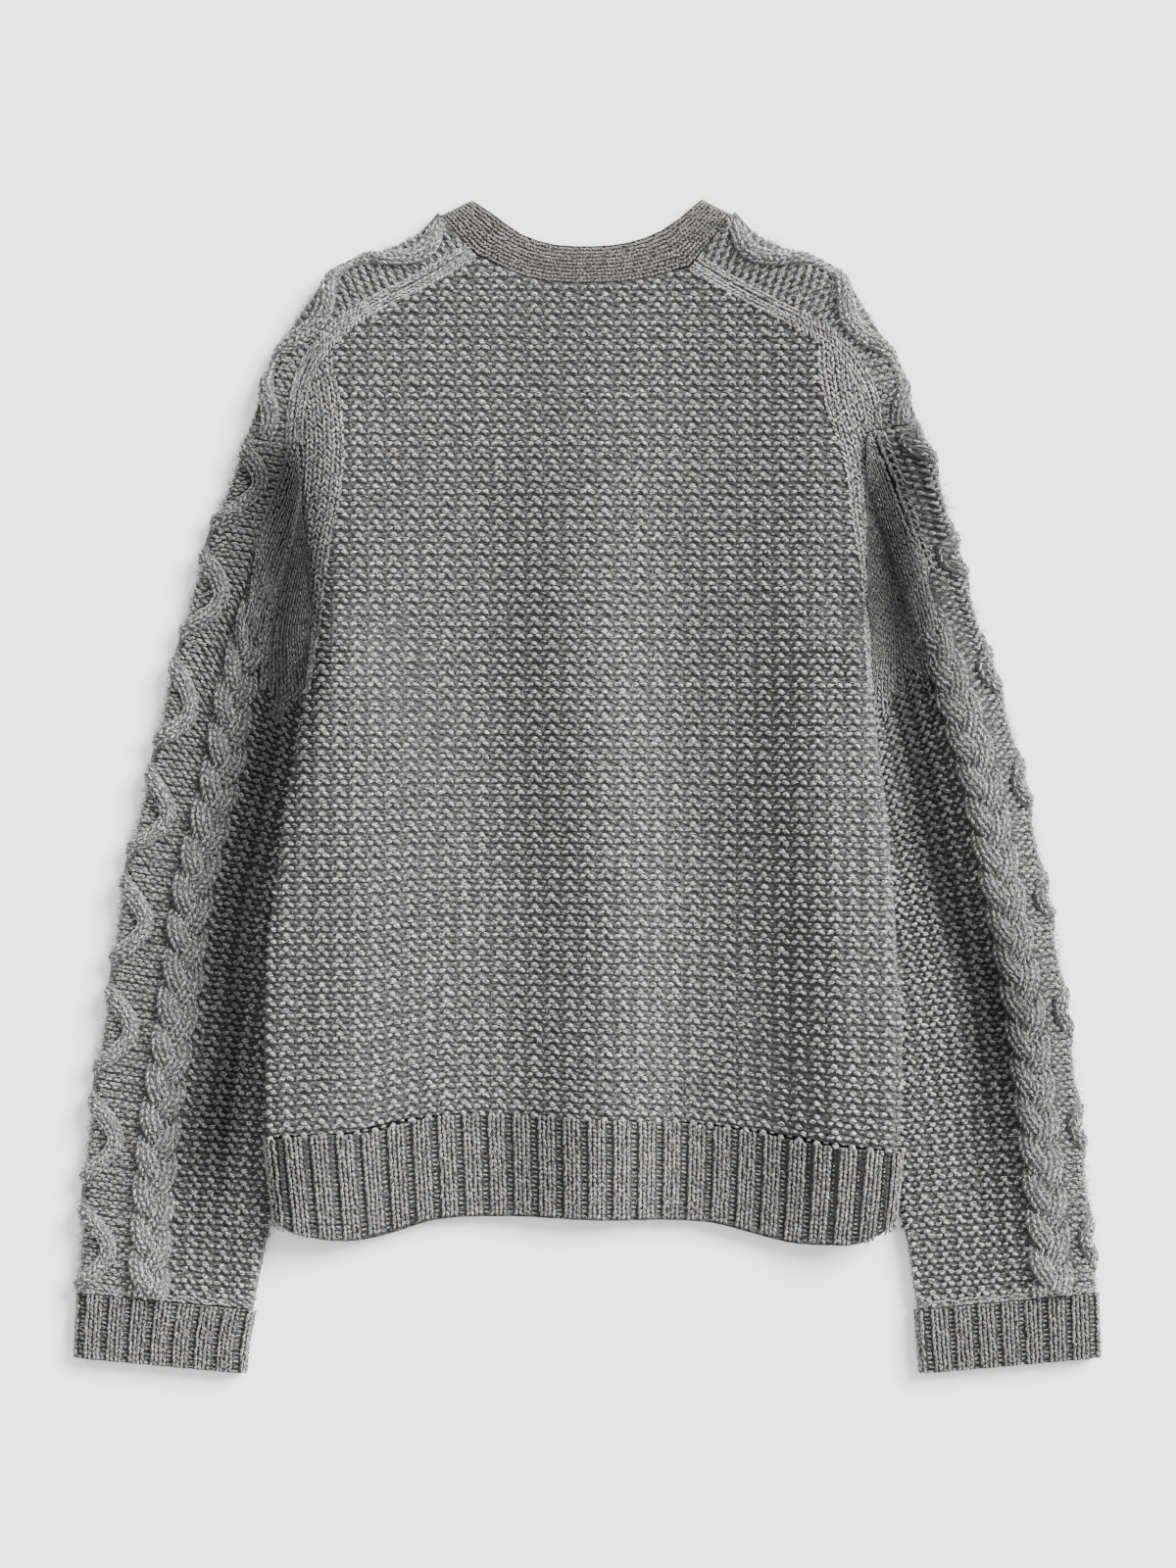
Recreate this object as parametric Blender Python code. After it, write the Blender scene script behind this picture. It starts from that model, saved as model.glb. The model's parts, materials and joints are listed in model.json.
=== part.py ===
"""Cable knit cardigan, laid flat on the ground with its back up.

Axes: +X to the right of the laid-out garment, +Y towards the neck, +Z up.
Every size and place below is in millimetres; MM turns it into metres.
Each knitted piece is a wall between an outer surface, which carries the
cables and ribs, and a plain inner surface.
"""
import bmesh
import bpy
import numpy as np

MM = 0.001

# ---- driving sizes, mm ---------------------------------------------------
KNIT = 4.5            # wall of the chunky knit
FINE = 2.2            # wall of the fine knit of neckband and front bands
RIB = 4.0             # wall of the ribs between their ridges
SEAM = 0.4            # gap left between two pieces at a seam
LAYERS = 1.1          # air between the front and the back
SIDE_AIR = 2.2        # more air between them beside the folded edges
BODY_ROLL = 6.0       # outer radius of the folded side edge of the body
SLEEVE_ROLL = 6.0     # outer radius of the outer edge of a sleeve
SLEEVE_INNER = 5.0    # outer radius of the inner edge of a sleeve
SHOULDER = 12.4       # height of the edge where a front turns over the shoulder
LIFT = 10.9           # how far a sleeve raises the side of the body
LIFT_SPAN = 70.0      # width over which the body comes down from it
BAND_HALF = 14.0      # half the width of a front band
BAND_STEP = 3.0       # height of the outer front band above the ground
BUTTON_STEPS = 14
BUTTON_PROFILE = (    # radius, height above the ground, face to back
    (6.8, 0.8),
    (8.0, 0.3),
    (9.5, 0.3),
    (10.0, 0.9),
    (10.0, 2.7),
)
CABLE = 4.4           # height of the plait cable
WAVE = 2.6            # height of the wave cable
RIDGE = 1.8           # height of a rib
CHAIN = 1.0           # height of the chain stitch line along a shoulder

UNDERARM_Y = 100.0    # where the folded side of the body begins
RISE = 36.0           # length over which the body climbs onto the sleeve
V_POINT_Y = 139.0     # bottom of the V neck
BUTTON_YS = (120.0, 31.0, -58.0, -146.0, -236.0)

# Heights along the side of the body at which back and fronts have a row.
SIDE_ROWS = (-150.0, -80.0, -35.0, 0.0, 35.0, 60.0, 72.0, 82.0, 92.0, 100.0,
             108.0, 122.0, 140.0, 160.0, 180.0, 196.0)
SIDE_TOP = 212.0      # where the folded side of the body ends
HEM_LEVEL = -215.0    # where the sections of the hem are taken
HEM_SECTIONS = 60     # points of such a section between the folded sides
FRONT_SECTIONS = 80
FRONT_COLUMNS = 21    # points across a front
ROLL_STEPS = 4        # points round a folded side of the back
NECK_COLUMNS = 10     # points along the neck seam

# Columns of the back below each shoulder seam, x.
CHAIN_LEFT_COLUMNS = (-162.0, -157.0, -150.0, -141.0, -127.0, -112.0, -96.0, -81.0)
CHAIN_RIGHT_COLUMNS = (76.0, 91.0, 107.0, 122.0, 136.0, 146.0, 153.0, 158.0)

# ---- outlines, mm --------------------------------------------------------
BODY_SIDE = (         # y, left edge x, right edge x
    (-262.0, -184.6, 181.6),
    (-242.0, -186.8, 183.9),
    (-215.0, -189.7, 186.2),
    (-169.0, -192.1, 188.0),
    (-102.0, -190.3, 185.1),
    (-34.0, -182.7, 179.8),
    (8.0, -175.7, 175.7),
    (38.0, -170.5, 171.6),
    (67.0, -165.8, 168.7),
    (100.0, -164.0, 168.1),
    (141.0, -168.7, 168.1),
    (176.0, -172.2, 168.1),
    (212.0, -172.2, 168.1),
)
SLEEVE_INSIDE = (     # y, left inner edge x, right inner edge x
    (-350.0, -205.0, 200.5),
    (-330.0, -203.4, 198.8),
    (-312.0, -199.4, 197.4),
    (-290.0, -195.4, 194.4),
    (-271.0, -191.2, 191.2),
    (-258.0, -187.0, 187.0),
    (-242.0, -183.0, 183.0),
    (-215.0, -176.0, 176.5),
    (-169.0, -165.0, 167.0),
    (-102.0, -148.0, 152.0),
    (-70.0, -143.0, 145.5),
    (-34.0, -138.7, 141.0),
    (8.0, -139.5, 142.5),
    (40.0, -149.0, 152.0),
    (68.0, -157.6, 160.6),
    (84.0, -160.0, 163.2),
    (100.0, -160.2, 163.6),
)
SLEEVE_OUTSIDE_LEFT = (   # x, y down the outer edge, from shoulder to cuff
    (-203.2, 208.0),
    (-212.0, 180.0),
    (-221.0, 158.0),
    (-233.0, 121.0),
    (-240.0, 92.0),
    (-248.5, 62.0),
    (-255.5, 27.0),
    (-262.5, -2.0),
    (-276.0, -60.0),
    (-283.0, -115.0),
    (-289.0, -153.0),
    (-296.5, -207.0),
    (-301.0, -267.0),
    (-302.6, -302.0),
    (-304.55, -342.0),
)
SLEEVE_OUTSIDE_RIGHT = (
    (197.4, 217.0),
    (207.6, 190.0),
    (216.2, 158.0),
    (231.2, 104.0),
    (247.0, 53.0),
    (257.2, 17.0),
    (267.0, -30.0),
    (278.4, -89.0),
    (287.2, -144.0),
    (294.2, -205.0),
    (298.0, -241.0),
    (301.4, -280.0),
    (303.6, -302.0),
    (304.8, -342.0),
)
SHOULDER_LEFT = (     # x, y of the fold over the shoulder, sleeve to neck
    (-203.2, 208.0),
    (-187.0, 250.0),
    (-167.4, 286.5),
    (-150.4, 305.0),
    (-128.5, 316.0),
    (-98.5, 331.0),
    (-87.4, 340.5),
)
SHOULDER_RIGHT = (
    (197.4, 217.0),
    (184.0, 250.0),
    (167.2, 282.5),
    (153.8, 301.0),
    (128.0, 316.0),
    (100.0, 330.0),
    (86.8, 341.0),
)
CHAIN_LEFT = (        # x, y of the seam behind the shoulder, sleeve to neck
    (-171.4, 203.0),
    (-169.6, 225.0),
    (-165.6, 242.0),
    (-159.0, 255.0),
    (-146.0, 270.0),
    (-120.5, 287.0),
    (-98.5, 298.0),
    (-66.2, 316.6),
)
CHAIN_RIGHT = (
    (167.6, 211.0),
    (165.0, 231.0),
    (156.5, 248.5),
    (146.0, 261.0),
    (128.0, 273.0),
    (107.0, 284.0),
    (81.0, 298.0),
    (61.4, 309.6),
)
NECK_SEAM = (         # x, y from left to right
    (-66.2, 316.6),
    (-51.0, 310.0),
    (-40.0, 304.8),
    (-18.0, 300.7),
    (3.0, 300.4),
    (24.0, 301.2),
    (43.0, 305.0),
    (61.4, 309.6),
)
NECK_EDGE = (
    (-68.9, 349.7),
    (-55.5, 341.0),
    (-40.3, 330.0),
    (-23.9, 324.2),
    (0.0, 322.4),
    (22.8, 324.2),
    (43.2, 331.0),
    (56.0, 339.4),
    (68.3, 350.3),
)
HEM_SEAM = (          # x, y of the seam above the hem rib
    (-195.0, -210.6),
    (-160.0, -207.4),
    (-130.0, -206.6),
    (-102.0, -199.4),
    (-75.0, -195.8),
    (-34.0, -196.4),
    (10.0, -199.2),
    (55.0, -200.8),
    (100.0, -206.8),
    (130.0, -212.2),
    (195.0, -218.4),
)
HEM_EDGE = (          # x, y of the lower edge of the hem rib
    (-195.0, -254.0),
    (-182.0, -264.0),
    (-166.0, -268.6),
    (-139.0, -270.4),
    (-120.0, -266.4),
    (-97.0, -259.4),
    (-52.0, -256.4),
    (10.0, -258.8),
    (55.0, -258.8),
    (78.0, -260.6),
    (100.0, -266.2),
    (124.0, -272.0),
    (146.0, -273.0),
    (166.0, -271.6),
    (178.0, -266.0),
    (195.0, -254.0),
)
FRONT_ARMHOLE_LEFT = (    # x, y of the front edge of the armhole, upwards
    (-163.6, 100.0),
    (-163.6, 130.0),
    (-170.0, 158.0),
    (-184.0, 184.0),
    (-203.2, 208.0),
)
FRONT_ARMHOLE_RIGHT = (
    (167.7, 100.0),
    (167.0, 132.0),
    (170.6, 160.0),
    (181.0, 189.0),
    (197.4, 217.0),
)

SIDES = {
    "left": {
        "sign": -1, "column": 1, "outside": SLEEVE_OUTSIDE_LEFT,
        "shoulder": SHOULDER_LEFT, "chain": CHAIN_LEFT, "armhole": FRONT_ARMHOLE_LEFT,
        "plait": 45.0, "wave_low": -2.0, "wave_high": 20.0, "wave_top": 50.0, "wave_pitch": 65.0,
    },
    "right": {
        "sign": 1, "column": 2, "outside": SLEEVE_OUTSIDE_RIGHT,
        "shoulder": SHOULDER_RIGHT, "chain": CHAIN_RIGHT, "armhole": FRONT_ARMHOLE_RIGHT,
        "plait": 29.0, "wave_low": -14.0, "wave_high": 7.0, "wave_top": 70.0, "wave_pitch": 68.0,
    },
}
PLAIT_HALF = 12.0     # half the width of the plait
STRAND_HALF = 5.0     # half the width of one strand of the wave
RIB_PITCH = 15.0      # from one ridge of the hem to the next
CUFF_RIDGES = 16      # round the whole cuff
QUARTER = SLEEVE_ROLL * np.pi / 2.0     # length of a quarter of the outer fold
UNDER_START = -QUARTER - 5.0            # the way round starts a little beneath the fold
SLEEVE_ROWS = 105     # a plait crossing takes four of them
STRAND_LINES = (-5.6, -2.4, 2.4, 5.6)              # across a strand of the wave
PLAIT_LINES = (-12.4, -7.8, -3.0, 3.0, 7.8, 12.4)  # across the plait
FAR_SHARES = (0.08, 0.35, 0.65, 1.0)               # from the plait to the inner fold
NECK_ROLL = 4.3       # outer radius of the neckband's fold over the shoulder
NECK_FLAT = 8.6       # height of the neckband by the shoulder
NECK_SAG = 3.4        # how much lower it lies at the middle of the back
NECK_UNDER = 3.0      # how far it reaches under the fold

# ---- colours -------------------------------------------------------------
MELANGE = (0.23, 0.23, 0.225, 1.0)
MELANGE_BAND = (0.24, 0.235, 0.225, 1.0)
BUTTON_GREY = (0.05, 0.048, 0.045, 1.0)


# ---- curves --------------------------------------------------------------
def smoothstep(t):
    t = np.clip(t, 0.0, 1.0)
    return t * t * (3.0 - 2.0 * t)


def mix(a, b, t):
    return a + (b - a) * t


def read(table, at, key=0, value=1):
    """Smooth reading of one column of a table against another."""
    rows = np.array(sorted((row[key], row[value]) for row in table))
    xs, ys = rows[:, 0], rows[:, 1]
    slope = np.gradient(ys, xs)
    at = np.clip(np.asarray(at, float), xs[0], xs[-1])
    k = np.clip(np.searchsorted(xs, at) - 1, 0, len(xs) - 2)
    step = xs[k + 1] - xs[k]
    t = (at - xs[k]) / step
    start = (2 * t**3 - 3 * t**2 + 1) * ys[k] + (t**3 - 2 * t**2 + t) * step * slope[k]
    end = (3 * t**2 - 2 * t**3) * ys[k + 1] + (t**3 - t**2) * step * slope[k + 1]
    return start + end


def lengths(points):
    steps = np.linalg.norm(np.diff(points, axis=0), axis=1)
    return np.concatenate([[0.0], np.cumsum(steps)])


def along(points, fractions):
    """Points at the given fractions of the length of a smooth curve."""
    points = np.asarray(points, float)
    at = lengths(points)
    fine = np.linspace(0.0, at[-1], 40 * len(points))
    table_x = np.column_stack([at, points[:, 0]])
    table_y = np.column_stack([at, points[:, 1]])
    curve = np.column_stack([read(table_x, fine), read(table_y, fine)])
    run = lengths(curve)
    want = np.asarray(fractions) * run[-1]
    return np.column_stack([np.interp(want, run, curve[:, k]) for k in (0, 1)])


def pushed(points, distance):
    """The same row of plan points moved sideways, to the left of their direction."""
    heading = np.gradient(points, axis=0)
    heading /= np.linalg.norm(heading, axis=1)[:, None]
    return points + distance * np.column_stack([-heading[:, 1], heading[:, 0]])


# ---- the shape of the laid-out body --------------------------------------
def body_edge(side, y):
    return read(BODY_SIDE, y, 0, SIDES[side]["column"])


def sleeve_inside(side, y):
    return read(SLEEVE_INSIDE, y, 0, SIDES[side]["column"])


def climb(y):
    """0 at the armhole, 1 where the body lies on the tucked sleeve."""
    return smoothstep((UNDERARM_Y + 6.0 - y) / RISE)


def lift(x, y):
    """Height of the underside of the fronts above the ground."""
    total = 0.0
    for side, data in SIDES.items():
        edge = body_edge(side, y)
        inward = data["sign"] * (edge - x)
        tuck = np.maximum(data["sign"] * (edge - sleeve_inside(side, y)), 0.0)
        total = total + LIFT * climb(y) * (1.0 - smoothstep((inward - tuck + 1.0) / LIFT_SPAN))
    return total


def nearest_edge(x, y):
    return np.minimum(x - body_edge("left", y), body_edge("right", y) - x)


def neck_opening(side, y):
    """Distance of a front's edge from the middle: straight, then up the V neck."""
    end_x, end_y = SIDES[side]["shoulder"][-1]
    slope = np.clip((y - V_POINT_Y) / (end_y - V_POINT_Y), 0.0, 1.0)
    return mix(BAND_HALF + SEAM, abs(end_x), slope)


def apart(y):
    """0 where the front bands overlap, 1 where each lies on the ground."""
    return smoothstep((y - 172.0) / 60.0)


def back_top(x, y):
    """Height of the outer surface of the back."""
    air = LAYERS + SIDE_AIR * (1.0 - smoothstep((nearest_edge(x, y) - 14.0) / 60.0))
    opening = neck_opening("right", y)
    over_bands = 2.8 * (1.0 - smoothstep((np.abs(x) - opening - 0.6) / 45.0)) * (1.0 - apart(y))
    sag = 4.4 * smoothstep((y - 190.0) / 110.0) * np.exp(-2.3 * (x / opening) ** 2)
    return lift(x, y) + 2.0 * KNIT + air + over_bands - sag


# ---- walls ---------------------------------------------------------------
def zipped(line_a, keys_a, line_b, keys_b):
    """Triangles and quads between two lines of vertices, matched by their keys."""
    faces, i, j = [], 0, 0
    while i < len(line_a) - 1 or j < len(line_b) - 1:
        next_a = keys_a[i + 1] if i < len(line_a) - 1 else np.inf
        next_b = keys_b[j + 1] if j < len(line_b) - 1 else np.inf
        if next_a == next_b:
            faces.append((line_a[i], line_a[i + 1], line_b[j + 1], line_b[j]))
            i, j = i + 1, j + 1
        elif next_a < next_b:
            faces.append((line_a[i], line_a[i + 1], line_b[j]))
            i += 1
        else:
            faces.append((line_a[i], line_b[j + 1], line_b[j]))
            j += 1
    return faces


class Skin:
    """Vertices and faces of one closed wall, gathered line by line."""

    def __init__(self):
        self.points, self.faces = [], []

    def line(self, row, keys):
        start = len(self.points)
        self.points.extend(row[k] for k in keys)
        return list(range(start, start + len(keys)))

    def surface(self, grid, keys, closed, flip):
        lines = [self.line(grid[i], keys[i]) for i in range(len(grid))]
        pairs = list(zip(range(len(grid) - 1), range(1, len(grid))))
        if closed:
            pairs.append((len(grid) - 1, 0))
        for a, b in pairs:
            for face in zipped(lines[a], keys[a], lines[b], keys[b]):
                self.faces.append(face[::-1] if flip else face)
        return lines

    def rim(self, line_a, keys_a, line_b, keys_b):
        self.faces.extend(zipped(line_a, list(keys_a), line_b, list(keys_b)))


def wall(name, outer, inner, material, keys=None, inner_keys=None, closed=False):
    """One closed solid between two grids of points, mm, of the same lines.

    keys names, for each line, the points of it that are used, so that
    a plain stretch takes fewer faces than a cabled one.
    """
    count = len(outer[0])
    keys = keys or [list(range(count))] * len(outer)
    inner_keys = inner_keys or keys
    skin = Skin()
    outer_lines = skin.surface(outer, keys, closed, False)
    inner_lines = skin.surface(inner, inner_keys, closed, True)
    for end in (0, -1):
        ring_a = [line[end] for line in outer_lines]
        ring_b = [line[end] for line in inner_lines]
        if closed:
            ring_a, ring_b = ring_a + ring_a[:1], ring_b + ring_b[:1]
        order = range(len(ring_a))
        skin.rim(ring_a, order, ring_b, order)
    if not closed:
        for end in (0, -1):
            skin.rim(outer_lines[end], keys[end], inner_lines[end], inner_keys[end])
    return add_object(name, skin.points, skin.faces, material)


def add_object(name, points, faces, material):
    mesh = bpy.data.meshes.new(name)
    mesh.from_pydata([tuple(MM * value for value in point) for point in points], [], faces)
    face_outwards(mesh)
    mesh.materials.append(material)
    mesh.shade_smooth()
    piece = bpy.data.objects.new(name, mesh)
    bpy.context.scene.collection.objects.link(piece)
    return piece


def face_outwards(mesh):
    shape = bmesh.new()
    shape.from_mesh(mesh)
    bmesh.ops.recalc_face_normals(shape, faces=shape.faces)
    if shape.calc_volume(signed=True) < 0.0:
        bmesh.ops.reverse_faces(shape, faces=shape.faces)
    shape.to_mesh(mesh)
    shape.free()


def thicker(points, normals, thickness, relief=0.0):
    """Outer and inner points of a wall from its base surface."""
    relief = np.broadcast_to(np.asarray(relief, float), points.shape[:-1])[..., None]
    thickness = np.broadcast_to(np.asarray(thickness, float), points.shape[:-1])[..., None]
    return points + normals * relief, points - normals * thickness


def every(count, step):
    picked = list(range(0, count, step))
    return picked if picked[-1] == count - 1 else picked + [count - 1]


# ---- back and hem --------------------------------------------------------
def roll_angles(y, steps):
    """Angles round the folded side, from the hidden end to the top."""
    reach = 50.0 + 95.0 * climb(y)
    return np.radians(90.0 + reach * (1.0 - np.arange(steps) / steps))


def across_body(place, y):
    """Point and normal of the back for a place across it.

    place is ("left", k) or ("right", k) on a folded side, or a fraction
    between the two folds.
    """
    left, right = body_edge("left", y), body_edge("right", y)
    if isinstance(place, tuple):
        side, k = place
        sign, edge = SIDES[side]["sign"], body_edge(side, y)
        angle = roll_angles(y, ROLL_STEPS)[k]
        middle = edge - sign * BODY_ROLL
        height = back_top(middle, y) - BODY_ROLL
        normal = np.array([-sign * np.cos(angle), 0.0, np.sin(angle)])
        return np.array([middle, y, height]) + BODY_ROLL * normal, normal
    x = mix(left + BODY_ROLL, right - BODY_ROLL, place)
    return np.array([x, y, back_top(x, y)]), np.array([0.0, 0.0, 1.0])


def body_places(between):
    """Places across the back: round a fold, the given fractions, round the other."""
    left = [("left", k) for k in range(ROLL_STEPS)]
    right = [("right", k) for k in reversed(range(ROLL_STEPS))]
    return left + list(between) + right


def top_fractions():
    """Fractions between the folds of the columns that end at shoulders and neck."""
    low = float(body_edge("left", SIDE_TOP)) + BODY_ROLL
    high = float(body_edge("right", SIDE_TOP)) - BODY_ROLL
    neck = np.linspace(NECK_SEAM[0][0], NECK_SEAM[-1][0], NECK_COLUMNS)
    xs = np.concatenate([[low], CHAIN_LEFT_COLUMNS, neck, CHAIN_RIGHT_COLUMNS, [high]])
    return (xs - low) / (high - low)


def plan_x(place, y):
    return across_body(place, y)[0][0]


def top_line_y(x):
    """The upper edge of the back: shoulder seam, neck seam, shoulder seam."""
    if NECK_SEAM[0][0] <= x <= NECK_SEAM[-1][0]:
        return float(read(NECK_SEAM, x))
    chain = CHAIN_LEFT if x < 0.0 else CHAIN_RIGHT[::-1]
    curve = along(chain, np.linspace(0.0, 1.0, 200))
    return float(np.interp(x, curve[:, 0], curve[:, 1]))


def make_back(material):
    points, normals = [], []
    for place in body_places(top_fractions()):
        x_top = plan_x(place, SIDE_TOP)
        top, bottom = top_line_y(x_top), float(read(HEM_SEAM, x_top)) + SEAM
        side = "left" if x_top < 0.0 else "right"
        x_side = plan_x((side, 0), SIDE_TOP)
        side_bottom, side_top = float(read(HEM_SEAM, x_side)) + SEAM, top_line_y(x_side)
        rows = [(y - side_bottom) / (side_top - side_bottom) for y in SIDE_ROWS]
        column = [across_body(place, mix(bottom, top, v)) for v in [0.0] + rows + [1.0]]
        points.append([point for point, _ in column])
        normals.append([normal for _, normal in column])
    outer, inner = thicker(np.array(points), np.array(normals), KNIT)
    wall("back", outer, inner, material)


def rib_relief(distance, pitch):
    """Flat-topped ridges along a rib, 0 to 1."""
    phase = (distance / pitch) % 1.0
    return smoothstep((0.5 - np.abs(phase - 0.5)) / 0.22)


def rib_places(start, end, pitch):
    """Places along a rib: one at the foot and two at the top of each ridge."""
    first, last = int(np.ceil(start / pitch)), int(np.floor(end / pitch))
    inside = [(k + step) * pitch for k in range(first, last) for step in (0.0, 0.24, 0.76)]
    inside = [place for place in inside + [last * pitch] if start + 1.0 < place < end - 1.0]
    return np.array([start] + inside + [end])


def sampled(points, normals, fractions):
    """Points and normals of a section at fractions of its length."""
    run = lengths(points)
    at = np.asarray(fractions) * run[-1]
    pick = [np.interp(at, run, points[:, k]) for k in range(3)]
    bend = [np.interp(at, run, normals[:, k]) for k in range(3)]
    return np.column_stack(pick), np.column_stack(bend)


def back_section(y_at):
    """Section of the back, with y given by a function of x."""
    line = []
    for place in body_places(np.linspace(0.0, 1.0, HEM_SECTIONS)):
        line.append(across_body(place, y_at(plan_x(place, HEM_LEVEL))))
    return np.array([point for point, _ in line]), np.array([normal for _, normal in line])


def hem_y(x, v, shorter=0.0):
    """From the hem seam, v = 0, to the lower edge, v = 1."""
    return mix(float(read(HEM_SEAM, x)), float(read(HEM_EDGE, x)) + shorter, v)


def make_hem_back(material):
    points, _ = back_section(lambda x: hem_y(x, 0.0))
    half = lengths(points)[-1] / 2.0
    at = rib_places(-half, half, RIB_PITCH)
    fractions = (at + half) / (2.0 * half)
    relief = RIDGE * rib_relief(at, RIB_PITCH)
    outer, inner = [], []
    for v in np.linspace(0.0, 1.0, 4):
        points, normals = sampled(*back_section(lambda x: hem_y(x, v)), fractions)
        rows = thicker(points, normals, RIB, relief)
        outer.append(rows[0])
        inner.append(rows[1])
    keys = [list(range(len(at)))] * len(outer)
    wall("hem_back", outer, inner, material, keys, [every(len(at), 3)] * len(outer))


# ---- fronts --------------------------------------------------------------
def centre_edge(side, y):
    """Edge of a front along its band."""
    return SIDES[side]["sign"] * neck_opening(side, y)


def front_rise(side, x, y):
    """The left front climbs over the band beneath it near the centre."""
    if side == "right":
        return 0.0
    near = 1.0 - smoothstep((abs(x - centre_edge(side, y)) - 1.0) / 16.0)
    return (BAND_STEP + FINE + 0.4 - KNIT + 2.0) * near * (1.0 - apart(y))


def side_start(side, y, k):
    """The first points of a front, hidden under the folded side of the body."""
    sign, edge = SIDES[side]["sign"], float(body_edge(side, y))
    middle = edge - sign * BODY_ROLL
    folded = float(climb(y))
    first = edge - sign * mix(0.4, 3.4, smoothstep(4.0 * folded))
    x = mix(first, middle, k / 2.0)
    bottom = float(lift(middle, y))
    swing = np.clip(abs(x - middle) / BODY_ROLL, 0.0, 0.95)
    arc = bottom + BODY_ROLL * (1.0 - np.sqrt(1.0 - swing**2)) * folded
    normal = np.array([sign * swing * folded, 0.0, -np.sqrt(1.0 - (swing * folded) ** 2)])
    return np.array([x, y, arc]), normal


def front_lower(side, p, q, fold_point, across):
    """Plan point of the part of a front that lies on the ground."""
    data = SIDES[side]
    sign = data["sign"]
    shoulder_end, neck_end = np.array(data["shoulder"][0]), np.array(data["shoulder"][-1])
    foot_side = float(read(HEM_SEAM, sign * 180.0)) + SEAM
    foot_centre = float(read(HEM_SEAM, sign * 15.0)) + SEAM
    y_side = mix(foot_side, shoulder_end[1], q)
    y_centre = mix(foot_centre, neck_end[1], q)
    if y_side > UNDERARM_Y:
        x_side = float(read(data["armhole"], y_side, 1, 0))
    else:
        x_side = side_start(side, y_side, 0)[0][0]
    start = np.array([x_side, y_side])
    end = np.array([centre_edge(side, y_centre), y_centre])
    straight = mix(shoulder_end, neck_end, p)
    bow = smoothstep((q - 0.55) / 0.45)
    turned = SHOULDER / 2.0 * smoothstep((q - 0.97) / 0.03)
    x, y = mix(start, end, p) + bow * (fold_point - straight) + turned * across
    y = y + (1.0 - q) ** 6 * (float(read(HEM_SEAM, x)) + SEAM - mix(foot_side, foot_centre, p))
    return np.array([x, y])


def shoulder_turn(side, fractions):
    """Plan of the fold over the shoulder: its line, the way across, and the width."""
    data = SIDES[side]
    fold_line = along(data["shoulder"], fractions)
    chain = pushed(along(data["chain"], fractions), -SEAM * data["sign"])
    chain[-1] = chain[-1] + np.array([data["sign"] * 0.5, 0.3])
    across = chain - fold_line
    width = np.linalg.norm(across, axis=1)
    return fold_line, across / width[:, None], width


def front_rows(side):
    """Shares of the way up a front at which it has a row."""
    foot = float(read(HEM_SEAM, SIDES[side]["sign"] * 180.0)) + SEAM
    top = SIDES[side]["shoulder"][0][1]
    return [0.0] + [(y - foot) / (top - foot) for y in SIDE_ROWS] + [1.0]


def make_front(side, material):
    count = FRONT_COLUMNS
    fold_line, across, width = shoulder_turn(side, np.linspace(0.0, 1.0, count))
    radius = SHOULDER / 2.0
    rows, bends, reliefs = [], [], []
    for q in front_rows(side):
        row, bend = [], []
        for i, p in enumerate(np.linspace(0.0, 1.0, count)):
            x, y = front_lower(side, p, q, fold_line[i], across[i])
            row.append(np.array([x, y, float(lift(x, y)) + front_rise(side, x, y)]))
            bend.append(np.array([0.0, 0.0, -1.0]))
        if row[0][1] < UNDERARM_Y + 1.0:
            for k in (0, 1, 2):
                y = mix(row[0][1], row[3][1], k / 3.0)
                row[k], bend[k] = side_start(side, y, k)
        rows.append(row)
        bends.append(bend)
        reliefs.append(np.zeros(count))
    lying = len(rows)
    run = lengths(fold_line)
    for angle in np.radians((-45.0, 0.0, 45.0, 90.0)):
        normal = np.column_stack([-across * np.cos(angle), np.full(count, np.sin(angle))])
        centre = np.column_stack([fold_line + across * radius, np.full(count, radius)])
        rows.append(centre + radius * normal)
        bends.append(normal)
        above = 1.0 if angle > -0.1 else 0.0
        reliefs.append(above * strip_relief(run, 8.0 + 6.0 * np.sin(angle)))
    for share in (0.25, 0.5, 0.75, 0.92, 1.0):
        plan = fold_line + across * (radius + share * (width - radius))[:, None]
        seam = fold_line + across * width[:, None]
        end_height = np.array([float(back_top(x, y)) for x, y in seam])
        height = mix(SHOULDER, end_height, smoothstep(share))
        rows.append(np.column_stack([plan, height]))
        bends.append(np.tile([0.0, 0.0, 1.0], (count, 1)))
        edge_line = CHAIN if share == 0.92 else 0.0
        reliefs.append(strip_relief(run, 14.0 + share * (width - radius)) + edge_line)
    outer, inner = thicker(np.array(rows, float), np.array(bends, float), KNIT, np.array(reliefs))
    sparse = [0, 1, 2, 3] + list(range(5, count - 3, 2)) + [count - 1]
    keys = [sparse] * (lying - 1) + [list(range(count))] * (len(rows) - lying + 1)
    wall("front_" + side, outer, inner, material, keys)


def strand(distance, middle, half):
    """Rounded ridge across a strand, 0 to 1."""
    return np.sqrt(np.clip(1.0 - ((distance - middle) / half) ** 2, 0.0, 1.0))


def strip_relief(run, reach):
    """The wave cable as it passes over the shoulder; reach is the way round the fold."""
    turns = (run - run[-1] + 26.0) / 76.0
    middle = 12.0 + 8.0 * np.cos(2.0 * np.pi * turns)
    return WAVE * strand(reach, middle, STRAND_HALF + 1.0)


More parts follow.
